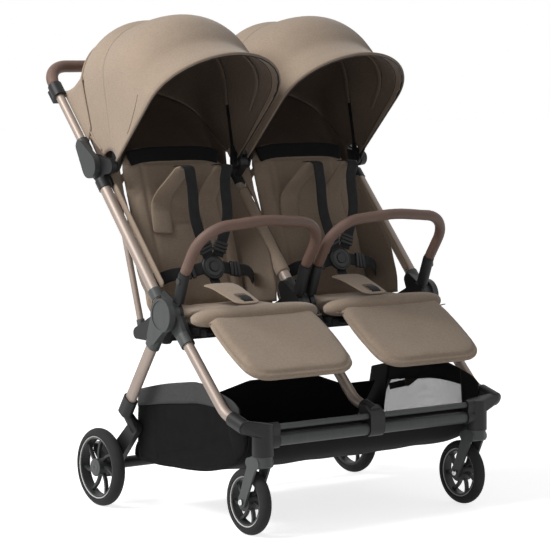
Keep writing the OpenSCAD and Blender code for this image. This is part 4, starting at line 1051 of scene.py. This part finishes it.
path = lift(0, [HUB + MAIN_DIR * s for s in np.linspace(92, 333, 60)])
swell = 1 + 0.02 * np.sin(np.linspace(0, 19, 60))
sleeve = sweep("middle_sleeve", path, oblong(31, 31, 2.2, 24), fabric, [1, 0, 0], scale=swell)
finish_piece(sleeve, "chassis", ["side_sleeves"])


# Cloth that joins the two seat covers below the middle tube
across = np.linspace(-42, 42, 14)
sagged = 450 - 5 * np.cos(across / 42 * math.pi / 2)
grid = np.array([np.column_stack([across, np.full(14, y), sagged]) for y in np.linspace(-230, -142, 14)])
bridge = cloth("seat_bridge", grid, 0.7, [black_cloth] * 3, np.array([0, 0, 1.0]))
finish_piece(bridge, "chassis")

# Main tubes from the hubs to the handle hinges
for name, x in (("left", -365), ("middle", 0), ("right", 365)):
    low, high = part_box("main_tubes")
    ends = [(z * 1000 - HUB[1]) / MAIN_DIR[1] for z in (low[2], high[2])]
    path = lift(x, [HUB + MAIN_DIR * s for s in np.linspace(ends[0] + 8, ends[1] - 8, 24)])
    finish_piece(tube(f"main_tube_{name}", path, 13, champagne, 36), "chassis", ["main_tubes"])


# Harness


def make_harness(side, sign):
    # Shoulder pads stand forward from the backrest; the straps hang from them to the buckle
    x0 = sign * SEAT_X
    back = Frame3([x0, *RECLINE_AXIS], [1, 0, 0], [0, *BACK_DIR], [0, *BACK_FRONT])
    base = 38.1
    route = [(0, 214), (0, 250), (0.5, 272), (5, 288), (18, 301), (52, 317), (86, 331), (103, 338), (111, 338)]
    fine = curve(route, 60)
    t = np.linspace(0, 1, 60)
    for k in (-1, 1):
        tag = f"{'a' if k < 0 else 'b'}_{side}"
        path = back.out(k * (70 - 18 * t), fine[:, 1], base + fine[:, 0])
        tangent = unit(np.gradient(path, axis=0))
        up = np.cross([1.0, 0, 0], tangent)
        width = (1 - 0.12 * t) * np.minimum(1, 0.86 + 4 * np.minimum(t, 1 - t))
        pad = sweep(f"shoulder_pad_{tag}", path, oblong(54, 10, 2.6, 28), fabric, up, scale=width)
        subdivide(pad)
        finish_piece(pad, f"backrest_{side}", [f"shoulder_pads_{side}"])
        for j, s in enumerate((14, 19)):
            across = path[s] + up[s] * -4.6 + np.outer(np.linspace(-25, 25, 12), [1, 0, 0])
            seam = tube(f"shoulder_pad_seam_{j}_{tag}", across, 1.1, binding, 8)
            finish_piece(seam, f"backrest_{side}")
        top = back.out(np.array([k * 52.0]), np.array([343.5]), np.array([base + 104]))[0]
        edge = back.out(np.array([k * 52.0]), np.array([336.0]), np.array([base + 118]))[0]
        end = np.array([x0 + k * 13, BUCKLE_MID[0] - 1, BUCKLE_MID[1] + 24])
        middle = edge * 0.42 + end * 0.58 + [k * 14, -3, 0]
        path = curve([top + [0, 26, -2], top, edge, edge * 0.86 + end * 0.14, middle, end], 60)
        hand = unit(np.gradient(path, axis=0))
        face = np.cross(hand, [1.0, 0, 0])
        strap = sweep(f"shoulder_strap_{tag}", path, flat_section(29, 1.8), webbing, face)
        span = tuple(metres(end)), tuple(metres(edge))
        stretch_piece(strap, "webbing", "chassis", f"backrest_{side}", *span)
        down = unit(end - middle)
        for j, (s, w, h) in enumerate(((-30, 36, 8), (-22, 37, 9), (-14, 36, 8))):
            bar = [end + down * (s + d) + face[-1] * 1.5 for d in (-3.2, -2, 0, 2, 3.2)]
            slide = sweep(f"strap_slider_{j}_{tag}", bar, oblong(w, h, 3.4, 24), black_plastic, face[-1])
            stretch_piece(slide, "black_plastic", "chassis", f"backrest_{side}", *span)
        path = curve(
            [
                (x0 + k * 22, BUCKLE_MID[0], BUCKLE_MID[1]),
                (x0 + k * 60, BUCKLE_MID[0] + 5, BUCKLE_MID[1] - 8),
                (x0 + k * 110, BUCKLE_MID[0] + 18, BUCKLE_MID[1] - 16),
                (x0 + k * 144, BUCKLE_MID[0] + 42, BUCKLE_MID[1] - 38),
            ],
            40,
        )
        waist = sweep(f"waist_strap_{tag}", path, flat_section(28, 1.8), webbing, [0, -1, 0.35])
        finish_piece(waist, "chassis", ["harness"])
        for j, i in enumerate((9, 12, 15)):
            bar = [path[i] + (path[i + 1] - path[i]) * d / 3 + [0, -1.6, 0.5] for d in (-3.0, -2, 0, 2, 3.0)]
            clip = sweep(f"waist_slider_{j}_{tag}", bar, oblong(35, 7.5, 3.4, 24), black_plastic, [0, -1, 0.35])
            finish_piece(clip, "chassis")
    path = curve([(x0, BUCKLE_MID[0] - 2, BUCKLE_MID[1] - 14), (x0, -196, 516), (x0, -212, 505), (x0, -240, 499)], 30)
    crotch = sweep(f"crotch_strap_{side}", path, flat_section(27, 2.0), webbing, [0, -0.4, 1])
    finish_piece(crotch, "chassis", ["harness"])

    # Buckle: a round body with a stepped rim round the release button
    tilt = math.radians(20)
    out = np.array([0, -math.cos(tilt), math.sin(tilt)])
    across, high = np.array([1.0, 0, 0]), np.array([0, math.sin(tilt), math.cos(tilt)])
    body = [(0.1, -6), (25, -6), (28, -4.6), (29.4, -2), (29.4, 2), (28.2, 4.6), (26.4, 5.4), (24.8, 5.4)]
    groove = [(24.2, 4.6), (23.2, 4.6)]
    dished_face = [(22.6, 6), (20, 6.6), (12.2, 6.4), (11.6, 5.2)]
    button_well = [(11.6, -4), (0.1, -4)]
    profile = [*body, *groove, *dished_face, *button_well]
    turns = 56
    a = np.arange(turns) * 2 * math.pi / turns
    centre = np.array([x0, *BUCKLE_MID])
    verts = [centre + r * (across * math.cos(t) + high * math.sin(t)) + n * out for r, n in profile for t in a]
    faces = [
        (i * turns + j, i * turns + (j + 1) % turns, (i + 1) * turns + (j + 1) % turns, (i + 1) * turns + j)
        for i in range(len(profile) - 1)
        for j in range(turns)
    ]
    faces += [tuple(range(turns)), tuple(range((len(profile) - 1) * turns, len(profile) * turns))]
    face = np.repeat(np.array([0] * 10 + [1] * 3 + [0] * 2), turns)
    buckle = add_object(f"buckle_{side}", verts, faces, [black_plastic, button_plastic], [*face, 0, 0], outward=True)
    finish_piece(buckle, "chassis", ["harness"])

    # Crotch pad: a tongue from the buckle over the seat to the front, with a slot for its strap
    t = np.linspace(0, 1, 50)
    path = curve([(x0, -204, 509), (x0, -230, 506), (x0, -272, 494), (x0, -312, 481), (x0, -332, 476)], 50)
    tip = np.sqrt(np.clip(1 - np.clip((t - 0.86) / 0.155, 0, 1) ** 2.2, 0.02, 1))
    width = (1 - 0.26 * t) * tip * np.minimum(1, 0.8 + 6 * t)
    tongue = sweep(f"crotch_pad_{side}", path, oblong(84, 9, 2.8, 28), fabric, [0, -0.3, 1], scale=width)
    subdivide(tongue)
    finish_piece(tongue, "chassis")
    slot = curve([(x0, -288, 494.5), (x0, -302, 490), (x0, -314, 486)], 16)
    finish_piece(sweep(f"crotch_slot_{side}", slot, oblong(30, 3, 2.6, 20), lining, [0, -0.3, 1]), "chassis")
    foot = curve([(x0, -300, 492), (x0, -312, 489), (x0, -322, 483), (x0, -326, 470)], 16)
    finish_piece(sweep(f"crotch_foot_{side}", foot, flat_section(26, 2), webbing, [0, -0.5, 1]), "chassis")


for side, sign in SIDES.items():
    make_harness(side, sign)


# Leatherette: bumper bars and handle grip, each a sewn tube with a stitched seam


def leather_tube(name, path, d, inward):
    p = along(path, 150)
    t = np.linspace(0, 1, 150)
    ease = 1 + 0.012 * np.sin(t * 61) * np.sin(t * 17)
    ends = np.minimum(1, 0.94 + 0.06 * np.minimum(t, 1 - t) * 60)
    cover = sweep(name, p, circle(d / 2, 28), hide, scale=ease * ends)
    tangent = unit(np.gradient(p, axis=0))
    down = np.broadcast_to(np.asarray(inward, float), p.shape)
    down = unit(down - tangent * np.sum(down * tangent, axis=1, keepdims=True))
    across = np.cross(tangent, down)
    seam = [tube(name + "_seam", p + down * (d / 2 + 0.05), 0.7, thread_dark, 6)]
    for k, s in (("a", -1), ("b", 1)):
        turn = math.radians(15) * s
        spoke = down * math.cos(turn) + across * math.sin(turn)
        seam.append(stitches(f"{name}_stitch_{k}", p + spoke * (d / 2 + 0.25), spoke, thread_dark))
    return cover, seam


def make_bumper(side, sign):
    flat = 84
    crown = math.radians(6)
    slope = (164 - 72 * (1 - math.sin(crown)) - 300 * math.sin(crown)) / math.cos(crown)
    run = 139 - 72 * math.cos(crown) - slope * math.sin(crown) - 300 * (1 - math.cos(crown)) - 6.05
    path = turtle([(run, 72, flat), (slope, 300, 12), (slope, 72, flat), (run, 0, 0)])
    rise = heading(180 - 56)
    start = FOOT_TOP + rise * 6.05
    points = np.column_stack([sign * (17 + path[:, 0]), start + np.outer(path[:, 1], rise)])
    lower = np.array([0, -math.sin(math.radians(56)), -math.cos(math.radians(56))])
    cover, seam = leather_tube(f"bumper_cover_{side}", points, 24, -lower)
    finish_piece(cover, f"bumper_{side}", [f"bumper_bar_{side}"])
    for piece in seam:
        finish_piece(piece, f"bumper_{side}")


for side, sign in SIDES.items():
    make_bumper(side, sign)

path = turtle([(5, 56, 90), (618, 56, 90), (5, 0, 0)])
start = HINGE + HANDLE_DIR * 246
points = np.column_stack([path[:, 0] - 365, start + np.outer(path[:, 1], HANDLE_DIR)])
cover, seam = leather_tube("grip_cover", points, 28, [0, 0.73, -0.68])
finish_piece(cover, "handle", ["handle_grip"])
for piece in seam:
    finish_piece(piece, "handle")


# Storage basket: sagging cloth floor with front and back, net sides, corner patches and hems


def make_basket():
    profile = curve(
        [
            (-510.5, 232), (-509, 214), (-500, 190), (-474, 160), (-430, 139), (-370, 124),
            (-300, 116), (-220, 113), (-140, 113), (-90, 115), (-68, 121), (-70, 136),
            (-92, 166), (-118, 200), (-143, 235), (-150, 247),
        ],
        70,
    )
    x = np.linspace(-316, 316, 50)
    t = np.linspace(0, 1, 70)
    sag = 5 * np.sin(math.pi * np.clip((t - 0.12) / 0.68, 0, 1)) ** 1.2
    rows = []
    for k in range(70):
        fade = math.sin(math.pi * t[k])
        z = profile[k, 1] - sag[k] * (1 - (np.abs(x) / 316) ** 2.4)
        z = z + 1.3 * np.sin(x / 41 + 9 * t[k]) * fade + 0.8 * np.sin(x / 17 - 23 * t[k]) * fade
        y = np.full(50, profile[k, 0])
        if k > 55:
            y = y - (k - 55) * 0.55 * (1 - (x / 316) ** 2)
            z = z + (k - 55) / 14 * 31 * np.interp(x, [-316, -170, -60, 125, 215, 316], [0, 4, 30, 30, 0, 0]) / 30
        rows.append(np.column_stack([x, y, z]))
    grid = np.array(rows)
    floor = cloth("basket_floor", grid, 1, [black_cloth] * 3)
    made = [(floor, (0.64, 0.82), grid_area(grid), ["front_crossbar"])]
    low = curve(
        [
            (-509, 214), (-500, 190), (-474, 160), (-430, 139), (-370, 124),
            (-300, 116), (-220, 113), (-140, 113), (-88, 116),
        ],
        60,
    )
    high = curve(
        [
            (-500, 274), (-488, 283), (-440, 299), (-390, 311), (-343, 315),
            (-290, 309), (-206, 296), (-150, 284), (-116, 276),
        ],
        60,
    )
    for side, sign in SIDES.items():
        rows = []
        for t in np.linspace(0, 1, 26):
            p = low * (1 - t) + high * t
            bulge = 4 * math.sin(math.pi * t) + 1.4 * np.sin(np.linspace(0, 11, 60) + 3 * t) * math.sin(math.pi * t)
            rows.append(np.column_stack([sign * (317 + 18 * t**0.6 + bulge * 0.3), p]))
        grid = np.array(rows)
        normal = grid_normals(grid)
        wall = cloth(f"basket_side_{side}", grid, 0.5, [net, net, black_cloth])
        made.append((wall, (0.44, 0.2), grid_area(grid), ["front_legs", "rear_legs"]))
        lean = sign * np.sign(normal[13, 30, 0])
        band = np.array([grid[-1 - k] + normal[-1 - k] * lean * 1.6 + [0, 0, 1.5] for k in range(7)])
        n = grid_normals(band)
        n = n * sign * np.sign(n[2, 30, 0])
        # The hem is grey cloth outside and black inside: the black inner side is painted shade on the grey hem
        hem = cloth(f"basket_hem_{side}", band, 0.7, [grey_cloth, black_cloth, grey_cloth], n)
        made.append((hem, (0.44, 0.06), grid_area(band), [wall.name]))
        for k, span in (("front", slice(0, 11)), ("rear", slice(49, 60))):
            patch = grid[:, span] - normal[:, span] * lean * 1.5
            area = grid_area(patch)
            corner = cloth(f"basket_corner_{k}_{side}", patch, 0.5, [black_cloth] * 3)
            made.append((corner, (0.18, round(area / 0.15, 3)), area, [wall.name]))
    across, down = np.linspace(-300, 300, 60), np.linspace(0, 1, 5)
    front = np.array([[(x, -510.5 + 1.2 * k, 236 - 20 * k) for x in across] for k in down])
    # The hem is grey cloth outside and black inside: the black inner side is painted shade on the grey hem
    hem = cloth("basket_front_hem", front, 1, [grey_cloth, black_cloth, grey_cloth])
    made.append((hem, (0.6, 0.022), grid_area(front), ["front_crossbar"]))
    for obj, flat, area, rests in made:
        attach(obj, "chassis")
        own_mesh(obj)
        if obj.name == "basket_floor":
            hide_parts("basket")


make_basket()


# Carry strap on the right, from the front leg to the rear leg
path = curve([(360, -330, 302), (360, -302, 292), (360, -262, 272), (360, -229, 252), (360, -214, 243)], 40)
# The strap takes the darkened taupe copy of the cloth, which is painted shade
strap = sweep("carry_strap", path, oblong(20, 6, 2.6, 24), taupe_painted_shade, [1, 0, 0])
leg_span = at(0, (-320, 300)), at(0, (-150, 215))
stretch_piece(strap, "taupe_fabric", "chassis", "rear_frame", *leg_span)
path = curve([(360, -224, 249), (360, -205, 242), (360, -180, 236), (362, -150, 228)], 30)
loop = sweep("carry_loop", path, flat_section(16, 2.4), webbing, [1, 0, 0])
stretch_piece(loop, "webbing", "chassis", "rear_frame", *leg_span)


# Wheels: pale ring on each visible face, hub cap and axle bolt


def lathe(name, centre, out, profile, material, turns=72):
    """A ring round the X axis at a centre: profile of (radius, height along out)."""
    a = np.arange(turns) * 2 * math.pi / turns
    verts = [
        np.asarray(centre) + [out * n, r * math.cos(t), r * math.sin(t)] for r, n in profile for t in a
    ]
    m = len(profile)
    faces = [
        (i * turns + j, i * turns + (j + 1) % turns, (i + 1) % m * turns + (j + 1) % turns, (i + 1) % m * turns + j)
        for i in range(m)
        for j in range(turns)
    ]
    return add_object(name, verts, faces, [material], outward=True)


def ring_profile(r, n):
    low, mid, top = n - 1.2, n + 0.5, n + 1.1
    return [(r - 3.2, low), (r - 3.1, mid), (r - 2.4, top), (r - 0.9, top), (r - 0.2, mid), (r - 0.1, low)]


for side, sign in SIDES.items():
    ring = lathe(f"rear_ring_{side}", [sign * 365, *REAR_AXLE], sign, ring_profile(72.0, 12.0), ring_white)
    finish_piece(ring, f"rear_wheel_{side}")
    for k, out in (("outer", sign), ("inner", -sign)):
        ring = lathe(f"front_ring_{k}_{side}", [sign * 300, *FRONT_AXLE], out, ring_profile(55.6, 10.0), ring_white)
        finish_piece(ring, f"front_wheel_{side}")
        bolt = lathe(
            f"axle_bolt_{k}_{side}",
            [sign * 300, *FRONT_AXLE],
            out,
            [(0.2, 22.2), (5.4, 22.2), (6.4, 23.0), (6.4, 24.2), (5.6, 25.2), (3.4, 25.8), (0.2, 26.0)],
            bright_steel,
            32,
        )
        finish_piece(bolt, f"caster_{side}")
    cap = lathe(
        f"rear_cap_{side}",
        [sign * 365, *REAR_AXLE],
        sign,
        [(0.2, 14.6), (20.2, 14.6), (20.4, 15.2), (19.4, 16.0), (14.5, 16.2), (13.6, 15.7), (12.8, 16.2), (0.2, 16.6)],
        grey_plastic,
        48,
    )
    finish_piece(cap, f"rear_wheel_{side}")
